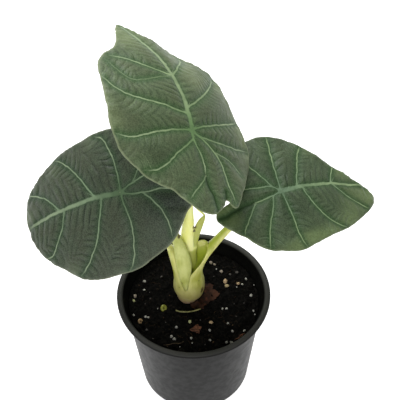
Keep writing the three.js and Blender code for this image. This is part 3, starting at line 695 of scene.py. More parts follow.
FOOT_FROM = 93.5  # and those between which it takes the tone of the foot
FOOT_FULL = 86.5


def even_skin(piece, passes):
    """Gives a joined or cut piece one even, softened skin."""
    modified(piece, "REMESH", mode="VOXEL", voxel_size=SKIN_STEP * MM)
    modified(piece, "SMOOTH", factor=0.5, iterations=passes)
    bpy.ops.object.shade_smooth()


def inside_share(points, stations, wide):
    """How far points lie inside a widened limb: 1 well inside, 0 outside."""
    shares = np.linspace(0, 1, 60)
    centre = smooth_through([station[:3] for station in stations], shares)
    best = np.full(len(points), 9.0)
    for middle, (across, deep) in zip(centre, girths(stations, shares)):
        off = points - middle
        size = np.array([across + wide, deep + wide, max(across, deep) + wide])
        best = np.minimum(best, np.linalg.norm(off / size, axis=1))
    return np.clip((1.12 - best) / 0.15, 0, 1)


def spots_of(piece):
    """The points of a piece in millimetres."""
    return np.array([p.co for p in piece.data.vertices]) / MM


def facing_up(piece):
    """How far the skin faces up at each point: 1 straight up, -1 straight down."""
    return np.array([p.normal.z for p in piece.data.vertices])


def skin_marks(piece, inner=0.0, rim=0.0):
    """Stores the brown specks, the greener parts and the pale rim. The under side is pale as well."""
    points = spots_of(piece)
    speck = np.zeros(len(points))
    for x, y, z, radius in SPECKS:
        far = np.linalg.norm((points - (x, y, z)) / SPECK_SHAPE, axis=1)
        speck = np.maximum(speck, np.clip((radius * 1.25 - far) / (radius * 0.5), 0, 1))
    store(piece, "speck", speck)
    store(piece, "inner", np.zeros(len(points)) + inner)
    store(piece, "rim", np.maximum(rim, np.clip(-0.2 - 1.4 * facing_up(piece), 0, 1)))


def stalk_finish(name):
    """Fleshy skin: fine lengthwise lines, soft blotches, duller low down and pinkish at the mix."""
    pale, full, inner, low, foot = (colour(*tone) for tone in STALK_TONES[name])
    skin = Finish(name, 0.42, 0.45)
    skin.paint("Subsurface Weight", 0.3)
    skin.paint("Subsurface Radius", (1, 0.9, 0.35))
    skin.paint("Subsurface Scale", 2.2 * MM)
    up = skin.along("Z")
    lines = skin.grain(1.1, 3, (1, 1, 14))
    shade = skin.mix(skin.rise(skin.grain(7, 3, (1, 1, 2.2)), 0.35, 0.65), full, pale)
    shade = skin.mix(skin.rise(lines, 0.45, 0.75, 0, 0.3), shade, pale)
    shade = skin.mix(skin.times(skin.stored("rim"), 0.7), shade, pale)
    shade = skin.mix(skin.stored("inner"), shade, inner)
    shade = skin.mix(skin.rise(up, LOW_FROM * MM, LOW_FULL * MM, 0, 0.8), shade, low)
    shade = skin.mix(skin.rise(up, FOOT_FROM * MM, FOOT_FULL * MM, 0, 0.9), shade, foot)
    shade = skin.mix(skin.times(skin.stored("speck"), 0.9), shade, colour(76, 58, 28))
    skin.paint("Base Color", shade)
    skin.paint("Roughness", skin.rise(skin.grain(2, 3), 0.3, 0.7, 0.34, 0.52))
    skin.relief(lines, 0.18, 0.6)
    return skin


outer = limb("outer_stalk", OUTER_STALK, 56, 150)
cut(outer, limb("lobe", LEFT_LOBE, 48, 70), "UNION")
cut(outer, limb("ear", EAR, 40, 50), "UNION")
cut(outer, limb("throat", THROAT, 48, 70))
cut(outer, limb("front_room", FRONT_STALK, 40, 120, SHEATH_GAP))
cut(outer, limb("young_room", YOUNG_STALK, 40, 120, SHEATH_GAP))
cut(outer, limb("wing_room", SHEATH_WING, 32, 50, SHEATH_GAP))
even_skin(outer, 4)
spots = spots_of(outer)
right, _, up = spots.T
core = np.max([inside_share(spots, body, -RIM_WIDTH) for body in (OUTER_STALK, EAR, LEFT_LOBE)], axis=0)
lips = np.max([inside_share(spots, body, 1.3) for body in (THROAT, FRONT_STALK)], axis=0)
shaded = 0.25 + THROAT_RATE * (right - THROAT_GREEN[0]) - THROAT_RATE * (up - THROAT_GREEN[1])
green_throat = inside_share(spots, THROAT, 0.4) * core * np.clip(shaded, 0, 1)
green_back = BACK_GREEN * np.clip((right - BACK_FROM) / 5, 0, 1)
green_back = green_back * np.clip((facing_up(outer) - 0.3) / 0.35, 0, 1)
skin_marks(outer, np.maximum(green_throat, green_back), lips * (1 - core))
finished(outer, stalk_finish("stalk_skin"), "stalk", "petiole_right")

front = limb("front_stalk", FRONT_STALK, 64, 220)
even_skin(front, 2)
skin_marks(front)
finished(front, stalk_finish("front_skin"), "stalk", "petiole_left")

young = limb("young_stalk", YOUNG_STALK, 64, 220)
cut(young, limb("wing", SHEATH_WING, 40, 70), "UNION")
cut(young, limb("collar", COLLAR, 48, 50), "UNION")
cut(young, limb("front_room", FRONT_STALK, 40, 120, SHEATH_GAP))
even_skin(young, 2)
young = joined("young_stalk", [young, limb("thread", SHEATH_THREAD, 12, 40)])
bpy.ops.object.shade_smooth()
spots = spots_of(young)
over_collar = spots[:, 2] - COLLAR_TOP
below_collar = np.clip(-over_collar / 1.2, 0, 1)
lip = np.exp(-(over_collar / 1.6) ** 2)
skin_marks(young, np.maximum(inside_share(spots, SHEATH_WING, 0.3), below_collar) * (1 - 0.8 * lip))
finished(young, stalk_finish("young_skin"), "young_stalk", "petiole_top")


# The dried sheath
# The papery brown scale of a withered leaf, which still clings round the right of the bulb's foot.

SHEATH_REACH = [  # the turn round the crown in degrees, and how far out the torn edge lies there
    (-86, 11.8), (-78, 13.4), (-66, 14.8), (-56, 16.9), (-46, 15.8), (-38, 15.2), (-24, 16.8),
    (-10, 19.6), (-2, 22.6), (3, 20.2), (9, 17.6), (16, 18), (24, 18.4), (31, 16.4), (39, 14.8),
    (48, 12), (58, 10.6),
]
SHEATH_ROOT = 9.3  # the radius at which it clings to the bulb
SHEATH_LEAST = 10.2  # its torn edge never comes nearer than this
SHEATH_THICKNESS = 0.45
SHEATH_STEPS = 120
SHEATH_RINGS = 26

turns, reaches = zip(*SHEATH_REACH)
points, faces = [], []
for step in range(SHEATH_STEPS + 1):
    turn = turns[0] + (turns[-1] - turns[0]) * step / SHEATH_STEPS
    reach = float(np.interp(turn, turns, reaches))
    reach = max(reach + 0.5 * math.sin(turn * 0.31) + 0.3 * math.sin(turn * 0.9), SHEATH_LEAST)
    for ring in range(SHEATH_RINGS + 1):
        out = ring / SHEATH_RINGS
        radius = SHEATH_ROOT + (reach - SHEATH_ROOT) * out
        x = CROWN[0] + radius * math.cos(math.radians(turn))
        y = CROWN[1] + radius * math.sin(math.radians(turn))
        folds = 0.7 * noise.fractal(Vector((turn * 0.05, radius * 0.22, 3)), 0.9, 2, 2)
        pleat = 0.3 * math.sin(turn * 0.21 + radius * 0.4)
        height = mix_level(x, y) + 0.7 + 2 * (1 - out) ** 2 + (folds + pleat) * (0.4 + 0.6 * out)
        points.append((x, y, max(height, mix_level(x, y) + 0.35)))
        if step and ring:
            here = len(points) - 1
            back = here - SHEATH_RINGS - 1
            faces.append([back - 1, back, here, here - 1])
scale_leaf = new_piece("dried_scale", points, faces)
modified(scale_leaf, "SOLIDIFY", thickness=SHEATH_THICKNESS * MM, offset=0)
bpy.ops.object.mode_set(mode="EDIT")
face_outward()
bpy.ops.object.shade_smooth()
papery = Finish("dried_scale", 0.75, 0.1)
streaks = papery.grain(2.5, 5)
shade = papery.two_tones(streaks, 0.35, 0.65, (24, 15, 10), (50, 29, 19))
shade = papery.mix(papery.rise(papery.grain(4, 2), 0.58, 0.74, 0, 0.4), shade, colour(96, 56, 40))
# The right part of the scale, from 9 to 19 mm along x, is painted lighter: painted light, as on its lit tip
painted_light_right_part = papery.rise(papery.along("X"), 9 * MM, 19 * MM, 0, 0.6)
papery.paint("Base Color", papery.mix(painted_light_right_part, shade, colour(92, 60, 44)))
papery.relief(streaks, 0.3, 0.8)
papery.relief(papery.grain(0.5, 3), 0.1, 0.5)
finished(scale_leaf, papery, "dried_sheath", "dried_sheath")


# The leaf blades
# Three leathery shield-shaped blades, grey-green over pale sunken veins. A vein is a groove with a
# fine cord in it above and a rib below, and thin cross veins raise ripples between the main ones.

# Places on a flat leaf are u towards the tip and v to its left, in millimetres from the stalk's joint.
# heart: the place where the rings of points begin, from which the whole margin can be seen
# bend: how fast the tip, the back, the left and the right side sink, and the twist
# wave: height, number and start of the swells of the margin
# dips: sunken places, each with u, v, radius and depth
# ripple: height, how far the midrib's own ripples reach, and their spacing
# cords and taper: how stout the veins are, and how much the midrib thins to the tip
# calm: flatter places, each with u, v, radius and share
# painted light and shade: lighter places (painted light, partly a yellower green), or painted shade where
# the last number is below 0
# creases: folds beside the notch, painted darker along them as painted shade
# outline, midrib and veins: the stops of each line, which for a vein follow its strength
LEAVES = {
    "top": dict(
        heart=(0, -10.4), bend=(0.0046, -0.001, 0.0031, 0.004, -0.0003), wave=(0.8, 7, 0.4),
        ripple=(0.24, 0.45, 4.6), cords=1, taper=0.15, dips=[(68, -30, 15, 5)],
        calm=[(20, -36, 26, 0.7), (-34, -34, 20, 0.7), (-18, 10, 16, 0.4)],
        painted_light_and_shade=[(88, 6, 20, 0.8), (74, 18, 10, 0.3), (58, 42, 9, 0.1), (40, 50, 9, 0.35), (25, 54, 9, 0.6),
              (8, 54, 10, 0.7), (-22, 48, 9, 0.3), (66, -34, 14, 0.4), (36, -52, 14, 0.9),
              (6, -54, 14, 0.9), (-14, -56, 14, 0.9), (-34, -34, 12, 0.5), (-34, 20, 14, -0.3),
              (54, 0, 30, 0.2), (-6, 12, 10, 0.3), (-14, 33, 13, -0.7), (14, -12, 8, -0.4),
              (50, -22, 14, 0.45), (30, 39, 9, -0.5), (8, 32, 9, -0.35), (33, -20, 12, 0.4),
              (11, -24, 9, -0.35)],
        creases=[[(-31.2, -0.6), (-39.4, -0.2), (-46.8, -1.7), (-55.5, -1)],
                 [(-43.2, -13.4), (-45, -13), (-47, -12.4), (-48.9, -12.2)]],
        outline=[(93.5, 5), (84, 14.5), (73, 22), (66.5, 28), (61.8, 37), (54.5, 44.5), (43.5, 49.2),
                 (23, 53.3), (5, 54.8), (-12, 52.5), (-24.5, 45.5), (-33.5, 36.5), (-39.5, 27),
                 (-49.5, 19.5), (-56.5, 10), (-58, 2), (-54.6, -5), (-52, -8.4), (-49.9, -10.4),
                 (-48.6, -12.4), (-49.4, -13.9), (-51.4, -14.7), (-53.2, -15.8), (-54.2, -17.8),
                 (-53.2, -20.8), (-45.5, -27.3), (-34.5, -39), (-21, -51), (-10, -55), (-1, -53),
                 (12, -51.8), (26.5, -52), (40, -51.5), (49, -47.5), (57.5, -41.5), (66.5, -32.5),
                 (76.5, -18.8), (85.2, -4.5), (91.5, 2)],
        midrib=[(-1, 0), (5.6, -0.8), (12.3, -1.1), (22.4, -2.2), (31.9, -2.6), (40.9, -2.7),
                (50.4, -2.6), (59.3, -1.9), (66.6, -0.4), (74.3, 1.7), (81.8, 3.6), (92.6, 4.8)],
        veins=[
            (1, [(41.2, -2.6), (44, 3.9), (47.2, 10.5), (50.1, 16.1), (52.5, 19.8), (56.2, 26.5),
                 (59.5, 34)]),
            (0.4, [(40.8, -2.1), (39.7, 8.5), (37.7, 19.8), (37.7, 29.6), (41.2, 33.5), (47.6, 36.8),
                   (55, 39)]),
            (1, [(11.3, -1), (13.6, 6), (17.1, 13.1), (20.2, 21.8), (22.5, 28.6), (24.9, 35),
                 (28.4, 40.8), (33.4, 45), (38.4, 47.2), (42, 49)]),
            (1, [(0, 0), (0.2, 14.8), (-0.3, 24.8), (-1.4, 34.3), (-2.5, 41.7), (-1.8, 47.5),
                 (0.8, 52.5)]),
            (0.9, [(-6.8, 0.8), (-10.9, 7.9), (-15.1, 15.4), (-20.1, 22.8), (-24, 29.6), (-25.6, 35.5),
                   (-25, 41)]),
            (1, [(41.5, -2.6), (46.3, -9.2), (53, -18.2), (61, -28.5), (65, -31.5)]),
            (1, [(15.8, -1.4), (19.7, -10.4), (26.1, -21.7), (31.8, -30.6), (38.1, -38.7), (45, -45.5)]),
            (1, [(0.6, -0.4), (2.8, -13.9), (4.7, -28.2), (8.2, -46.2), (10, -50)]),
            (0.9, [(-0.5, -0.6), (-4.5, -5.3), (-6.6, -11.7), (-8.5, -19.9), (-10.2, -28.9),
                   (-11.8, -40.6), (-11.8, -52)]),
            (1, [(-0.3, -0.3), (-7.7, -7.7), (-15.4, -14), (-23.7, -17.4), (-34.9, -17.6), (-44.3, -18.4),
                 (-51, -19)]),
            (0.7, [(-15.8, -14.3), (-18.7, -22.2), (-23.1, -28.7), (-30.5, -35)]),
            (1, [(-0.5, 0.2), (-7, 0.6), (-15.6, -1.4), (-23, -2.1), (-31.2, -0.6)]),
            (0.7, [(-31.6, -0.6), (-38.2, 6.8), (-43.2, 14), (-46, 17)]),
        ]),
    "left": dict(
        heart=(0, 0), bend=(0.0024, 0.0011, 0.0054, 0.0041, -0.0015), wave=(0.5, 8, 1.1),
        ripple=(0.32, 0.38, 5.7), cords=0.88, taper=0.3, dips=[],
        calm=[(-16, 34, 22, 0.9), (8, 18, 12, 0.5), (56, 34, 12, 0.5), (-24, -20, 18, 0.7)],
        painted_light_and_shade=[(84, -8, 10, 0.8), (52, -34, 9, 0.6), (74, 26, 9, 0.4), (54, 40, 10, 0.7), (20, 52, 9, 0.5),
              (-30, 14, 16, -1), (-38, 12, 10, -0.8), (-34, -8, 18, -0.9), (-8, 20, 14, -0.3),
              (-2, -26, 16, -0.5), (14, -14, 12, -0.4), (16, -43, 9, 0.6)],
        creases=[],
        outline=[(85, -9), (83.5, 2), (80.5, 13), (72, 26.5), (61, 36), (50, 45.5), (37, 49.8),
                 (22, 50.8), (6, 50.8), (-8, 46.8), (-21, 42), (-32, 34.5), (-41, 25.5), (-48, 20),
                 (-50, 13), (-46, 7), (-37, 3.5), (-27, 0.5), (-36, -4.5), (-44, -9.5), (-48, -17),
                 (-44, -27), (-35, -35), (-24, -41), (-12, -45), (0, -46.5), (14, -48), (29, -46.3),
                 (43, -44.8), (56, -40), (69, -33.5), (79.5, -26.5), (84, -18)],
        midrib=[(-1, 0), (5.8, -0.5), (15.7, -2), (26.3, -2.8), (37.6, -2.9), (49.5, -3.2), (62.2, -2.8),
                (71.8, -2.2), (84, -0.6)],
        veins=[
            (1, [(51.2, -3.4), (56.6, -10.3), (63.4, -16.5), (71.1, -21.2), (81.5, -25.2)]),
            (1, [(19.4, -2.4), (24.3, -11.3), (28.4, -18.8), (33, -25.7), (38.3, -31.9), (44.1, -37.1),
                 (50, -41)]),
            (1, [(0, 0), (-1, -7.3), (-0.9, -15.6), (0.2, -25.2), (2.3, -31.6), (4.7, -38.2),
                 (7.5, -42.2), (13.5, -45.8)]),
            (1, [(46.5, -3.1), (49.7, 4.2), (53.5, 10.3), (58.7, 16), (64.1, 21.6), (68.6, 24.4),
                 (74.5, 23.8)]),
            (1, [(14.2, -1.9), (17.9, 7.2), (21.4, 14.2), (24.3, 20.4), (27.9, 26.4), (32.8, 31.2),
                 (38.7, 36.6), (45, 41.1), (50, 43.5)]),
            (1, [(0, 0), (-0.4, 8.6), (-1.4, 16.9), (-0.9, 22.9), (0.4, 29.5), (2.8, 35.8), (5.4, 42.1),
                 (8.6, 46.4), (13, 50)]),
            (1, [(-0.3, 0.3), (-7.9, 3.4), (-16, 5.2), (-23.3, 5.8), (-30, 6.6), (-38, 9.4),
                 (-45, 13.6)]),
            (0.9, [(-15.7, 5.2), (-20.5, 11.4), (-24.3, 18.7), (-25.9, 26.2), (-25.6, 32.1),
                   (-24.7, 37.5)]),
            (1, [(-0.3, -0.2), (-7.7, -2.8), (-15, -4.5), (-21, -5.8), (-32, -9.6), (-43, -17)]),
            (0.8, [(-10.5, -3.7), (-14.5, -8.2), (-18, -13), (-22, -22), (-25, -38)]),
        ]),
    "right": dict(
        heart=(0, 0), bend=(0.0022, 0.001, 0.0022, 0.0019, 0), wave=(0.5, 8, 2.2),
        ripple=(0.24, 0.42, 5), cords=0.78, taper=0.55, dips=[],
        calm=[(-20, -10, 20, 0.7), (-24, 22, 18, 0.5), (52, -6, 14, 0.4)],
        painted_light_and_shade=[(72, -6, 14, 1.1), (52, -6, 12, 0.5), (48, -28, 13, 1), (27, -39, 12, 1), (54, 18, 11, 1.1),
              (32, 34, 10, 0.7), (9, -41, 12, 1.4), (-8, -44, 9, 0.7), (-24, -40, 9, 0.4),
              (-44, -7, 9, 1.7), (-34, 18, 10, 0.9), (0, 12, 14, -0.7), (4, -16, 14, -0.8),
              (-10, -28, 9, -0.3), (-41, -20, 8, 0.6)],
        creases=[[(-22.9, -6.7), (-29.4, -7.9), (-37.1, -10.3), (-44.8, -13.1), (-50.4, -14.4)]],
        outline=[(75, -5.5), (72, -0.5), (63.5, 6), (52.5, 15.5), (43.5, 22.5), (32, 32.5), (20, 42),
                 (5, 46.5), (-8, 45), (-20, 40), (-31, 32.5), (-40.5, 24.5), (-46.5, 16), (-45.5, 9),
                 (-37, 5), (-29, 1.5), (-34, -1.1), (-40.5, -4.3), (-46.7, -7.1), (-50.2, -9.8),
                 (-51.1, -14), (-49, -18.2), (-43.7, -23), (-34.5, -31), (-23.5, -39), (-11, -42.5),
                 (2, -43.5), (13, -40), (27, -35.5), (42.5, -30.5), (56.5, -23.5), (69, -15.5),
                 (74, -10)],
        midrib=[(-1, 0), (8, 1.4), (19.5, 2.7), (31.2, 3.3), (40.3, 3.7), (52.8, 2.6), (66.8, 2.1),
                (70.5, 1.2)],
        veins=[
            (1, [(40.4, 3.7), (42.8, 9.5), (45.5, 14.3), (48.6, 18)]),
            (1, [(11.8, 1.9), (15.2, 10.4), (19.4, 20.9), (24, 30.6), (28, 35.5)]),
            (1, [(-0.5, 0.4), (0, 11.9), (1.1, 23.6), (2.8, 34.7), (4.7, 45.5)]),
            (0.9, [(-5.5, 3.4), (-10.5, 12), (-13.9, 17.1), (-16.7, 21), (-22.5, 35)]),
            (1, [(-0.4, 0.4), (-7, 4.2), (-14.1, 4.8), (-19.3, 4.4), (-25.5, 4.6), (-34, 7.4),
                 (-43, 12.5)]),
            (1, [(-0.4, -0.2), (-10.6, -3.6), (-17.4, -5.4), (-22.9, -6.7)]),
            (0.8, [(-21.6, -6.4), (-27.5, -14.9), (-33.2, -22.2), (-36, -28)]),
            (0.9, [(-7.3, -2.6), (-11.2, -13.1), (-14.3, -19.9), (-17.4, -26.6), (-19.6, -34.2),
                   (-20.8, -39.5)]),
            (1, [(0, -0.2), (0.7, -10.4), (1.8, -19.9), (2, -29.1), (3.7, -37.3), (5.8, -42)]),
            (1, [(16, 2.4), (19.7, -8.9), (24.4, -17.8), (30, -24.4), (36.6, -28.8), (42, -30.4)]),
            (1, [(41, 3.5), (46.6, -3.1), (53, -8.7), (59, -12.4), (66, -16)]),
        ]),
}
BLADE_THICKNESS = 0.9
MIDRIB_STRENGTH = 2.3  # where a full side vein has 1
CREASE_STRENGTH = 0.8
VEIN_SINK = 0.75
VEIN_SPREAD = 3.4
VEIN_HALF = 0.6  # half the width of a vein of strength 1 at its root
VEIN_LEAST = 0.4
VEIN_TAPER = 0.35  # how much of that width is gone at its end
VEIN_SWAY = 0.5
CORD_LIFT = 0.14  # how high the cord stands in its groove
CREASE_SINK = 0.6
RIB_HEIGHT = 0.9
PUFF = 0.8  # how much higher the blade stands midway between two veins
MARGIN_CURL = 0.5
SPOKES = 660  # points round the margin of a blade


def soften(value, low, high):
    """Goes smoothly from 0 to 1 while the value goes from low to high."""
    share = np.clip((value - low) / (high - low), 0, 1)
    return share * share * (3 - 2 * share)


def soft_field(u, v, size, seed):
    """Soft random values round 0, mostly within 0.5, that change over a given size."""
    return np.array([noise.fractal(Vector((a / size, b / size, seed)), 1, 2, 2) for a, b in zip(u, v)])


def round_place(u, v, middle_u, middle_v, radius):
    """How near points are to a place: 1 in its middle, and less smoothly outwards."""
    return np.exp(-((u - middle_u) ** 2 + (v - middle_v) ** 2) / radius ** 2)


def beside_vein(line, u, v):
    """For each point: its distance from a vein, the side, the length along it and the share there."""
    path = smooth_through(line, np.linspace(0, 1, 5 * len(line)))
    best = np.full(len(u), 1e9)
    side, along = np.ones(len(u)), np.zeros(len(u))
    start = 0.0
    spans = list(zip(path[:-1], path[1:]))
    for number, (a, b) in enumerate(spans):
        du, dv = b - a
        span = math.hypot(du, dv)
        k = ((u - a[0]) * du + (v - a[1]) * dv) / span ** 2
        held = np.clip(k, 0, 1)
        far = np.hypot(u - a[0] - held * du, v - a[1] - held * dv)
        free = k if number in (0, len(spans) - 1) else held
        along = np.where(far < best, start + free * span, along)
        side = np.where(far < best, np.sign(du * (v - a[1]) - dv * (u - a[0])), side)
        best = np.minimum(best, far)
        start += span
    return best, side, along, along / start


def ripples(leaf, u, v, reach, side, along, faint):
    """Folds that cross the blade beside each vein and lean more the farther they get from it."""
    number = np.arange(len(reach))[:, None]
    middle = number == 0
    _, pull, spacing = leaf["ripple"]
    cell = reach * np.where(middle, pull, 1) + 6 * (faint < 0.5)
    weight = np.exp(-(cell - cell.min(axis=0)) / 0.9)
    weight /= weight.sum(axis=0)
    from_midrib = np.where(side > 0, 0.3, 0.12) * reach + 0.008 * reach ** 2
    lean = np.where(middle, from_midrib, 0.042 * reach ** 2)
    step = spacing * (1 + 0.16 * np.sin(2.4 * number))
    drift = 2.4 * soft_field(u, v, 22, 7) + 0.5 * soft_field(u, v, 5, 9)
    phase = (along - lean) / step * 2 * math.pi + drift
    folds = 2 * np.abs(np.sin(phase / 2)) ** 0.8 - 1.2 + 0.15 * np.sin(2 * phase + 3 * drift)
    strong = 0.35 + 0.65 * soften(soft_field(u, v, 13, 3), -0.3, 0.35)
    for *place, calm in leaf["calm"]:
        strong = strong * (1 - calm * round_place(u, v, *place))
    return (weight * folds).sum(axis=0) * strong * soften(reach.min(axis=0), 0.4, 2.2)


def blade_relief(leaf, u, v, edge):
    """How the veins and the ripples between them shape and tint the blade at each flat point."""
    lines = [(MIDRIB_STRENGTH, leaf["midrib"])] + leaf["veins"]
    veins = len(lines)
    lines += [(CREASE_STRENGTH, line) for line in leaf["creases"]]
    strength = np.array([weight for weight, _ in lines])[:, None]
    faint = np.clip(strength, 0, 1)
    stout = np.where(strength > 1, strength, strength * leaf["cords"])
    sway_u = u + VEIN_SWAY * soft_field(u, v, 6, 31)
    sway_v = v + VEIN_SWAY * soft_field(u, v, 6, 33)
    measured = [beside_vein(line, sway_u, sway_v) for _, line in lines]
    reach, side, along, share = (np.array(rows) for rows in zip(*measured))
    nearest = reach.min(axis=0)
    middle = np.arange(len(lines))[:, None] == 0

    # A vein thins towards its end, swells where it leaves the midrib and varies a little
    taper = np.where(middle, leaf["taper"], VEIN_TAPER) * np.clip(share, 0, 1)
    half = np.maximum(VEIN_HALF * stout * (1 - taper), VEIN_LEAST)
    half = half * (1 + 0.3 * soft_field(u, v, 2.2, 21))
    half = half * (1 + 0.4 * np.exp(-((along / np.where(middle, 12, 3)) ** 2)))
    index = (reach / half)[:veins].argmin(axis=0), np.arange(len(u))
    crease = np.exp(-((reach[veins:] / 1.1) ** 2)).max(axis=0, initial=0)
    groove = (np.exp(-((reach / VEIN_SPREAD) ** 2)) * np.minimum(faint * 1.1, 1)).max(axis=0)

    ripple = ripples(leaf, u, v, reach, side, along, faint)
    puff = PUFF * soften(nearest, 0, 10) * (1 - edge ** 4)
    return {
        "across": (side * reach / half)[index],
        "fade": (faint * (1 - 0.75 * soften(share, 0.86, 1)))[index],
        "outward": share[index],
        "crease": crease,
        "flank": np.exp(-((nearest / 3.2) ** 2)),
        "puff": soften(nearest, 0, 9),
        "ripple": ripple,
        "hair": soften(-ripple, 0.35, 0.8) * soften(edge, 0.3, 0.8),
        "rise": puff + leaf["ripple"][0] * ripple * (1 - 0.6 * soften(edge, 0.93, 1)),
        "groove": groove * (1 - 0.6 * edge ** 2),
        "rib": (faint * np.exp(-((reach / (0.8 + half)) ** 2))).max(axis=0),
    }


def stitched(low, few, high, many):
    """Faces between a ring and the next one out, which has as many points or twice as many."""
    faces = []
    for i in range(few):
        j = (i + 1) % few
        if few == many:
            faces.append((low + i, high + i, high + j, low + j))
        else:
            half, after = high + 2 * i + 1, high + (2 * i + 2) % many
            faces += [(low + i, high + 2 * i, half), (low + i, half, low + j), (low + j, half, after)]
    return faces


def face_grid(leaf, levels):
    """Flat points of one face, ring by ring from its heart to the margin, and its faces."""
    heart = np.array(leaf["heart"], float)
    flat, edge, starts = [heart[None]], [np.zeros(1)], []
    total = 1
    for share, spokes in levels:
        margin = smooth_through(leaf["outline"], np.arange(spokes) / spokes, closed=True)
        starts.append((total, spokes))
        flat.append(heart + (margin - heart) * share)
        edge.append(np.full(spokes, share))
        total += spokes
    first, spokes = starts[0]
    faces = [(0, first + i, first + (i + 1) % spokes) for i in range(spokes)]
    for inner, outer_ring in zip(starts[:-1], starts[1:]):
        faces += stitched(*inner, *outer_ring)
    return np.vstack(flat), np.concatenate(edge), faces, starts[-1]


def blade_height(leaf, u, v, edge, form, under):
    """How far one face of the blade lies out of the flat leaf at each point."""
    tip, back, left_bend, right_bend, twist = leaf["bend"]
    wave_height, wave_count, wave_start = leaf["wave"]
    height = -np.where(u > 0, tip, back) * u ** 2 - np.where(v > 0, left_bend, right_bend) * v ** 2
    height -= twist * u * v
    for *place, depth in leaf["dips"]:
        height -= depth * round_place(u, v, *place)
    height += wave_height * edge ** 3 * np.sin(wave_count * np.arctan2(v, u) + wave_start)
    height += 1.1 * edge ** 6 * soft_field(u, v, 8, 11) - MARGIN_CURL * soften(edge, 0.95, 1) ** 2
    height += form["rise"] * (0.7 if under else 1)
    if under:
        height -= BLADE_THICKNESS - 0.35 * soften(edge, 0.9, 1)
        height -= (0.4 * VEIN_SINK * form["groove"] + RIB_HEIGHT * form["rib"]) * (1 - 0.8 * edge ** 2)
    else:
        cord = (1 - soften(np.abs(form["across"]), 0.4, 1.3)) * form["fade"]
        height += CORD_LIFT * cord - VEIN_SINK * form["groove"]
        height -= CREASE_SINK * form["crease"] * (1 - edge ** 6)
    return height


def blade_marks(leaf, u, v, edge, under):
    """What tints the blade besides its veins: the margin, the pale root and the painted light and shade of
    its lighter and darker places.
    """
    far = (1 - edge) * np.hypot(u - leaf["heart"][0], v - leaf["heart"][1]) / np.maximum(edge, 0.01)
    return {
        "margin": 1 - soften(far, 0.25, 1.1),
        "root": np.exp(-(np.hypot(u, v) / 13) ** 2),
        "painted_light_and_shade": sum(painted_light_and_shade * round_place(u, v, *place) for *place, painted_light_and_shade in leaf["painted_light_and_shade"]),
        "under": np.full(len(u), float(under)),
    }


def blade(name, leaf, pose):
    """The blade as one closed skin: its upper face, its rounded margin and its under face."""
    joint, ahead, left, out = leaf_axes(pose)
    upper_rings = [(share, SPOKES // 4) for share in np.arange(0.012, 0.1, 0.012)]
    upper_rings += [(share, SPOKES // 2) for share in np.arange(0.105, 0.38, 0.01)]
    upper_rings += [(share, SPOKES) for share in (*np.arange(0.385, 0.99, 0.0068), 0.994, 1.0)]
    under_rings = [(share, SPOKES // 4) for share in np.arange(0.02, 0.36, 0.02)]
    under_rings += [(share, SPOKES // 2) for share in (*np.arange(0.375, 0.985, 0.015), 1.0)]
    points, faces, rims, forms = [], [], [], []
    for under, levels in ((0, upper_rings), (1, under_rings)):
        flat, edge, grid, (rim, count) = face_grid(leaf, levels)
        u, v = flat.T
        form = blade_relief(leaf, u, v, edge)
        height = blade_height(leaf, u, v, edge, form, under)
        scallop = 1 + 0.004 * form["ripple"] * edge ** 12
        across = (u * scallop)[:, None] * ahead + (v * scallop)[:, None] * left
        start = sum(len(face_points) for face_points in points)
        points.append(joint + across + height[:, None] * out)
        faces += [[start + i for i in (face[::-1] if under else face)] for face in grid]
        rims.append((start + rim, count))
        forms.append({**form, **blade_marks(leaf, u, v, edge, under)})
    upper_rim, under_rim = rims
    faces += [face[::-1] for face in stitched(*under_rim, *upper_rim)]
    piece = new_piece(name, np.vstack(points), faces)
    for value in LEAF_VALUES:
        store(piece, value, np.concatenate([form[value] for form in forms]))
    bpy.ops.object.shade_smooth()
    return piece


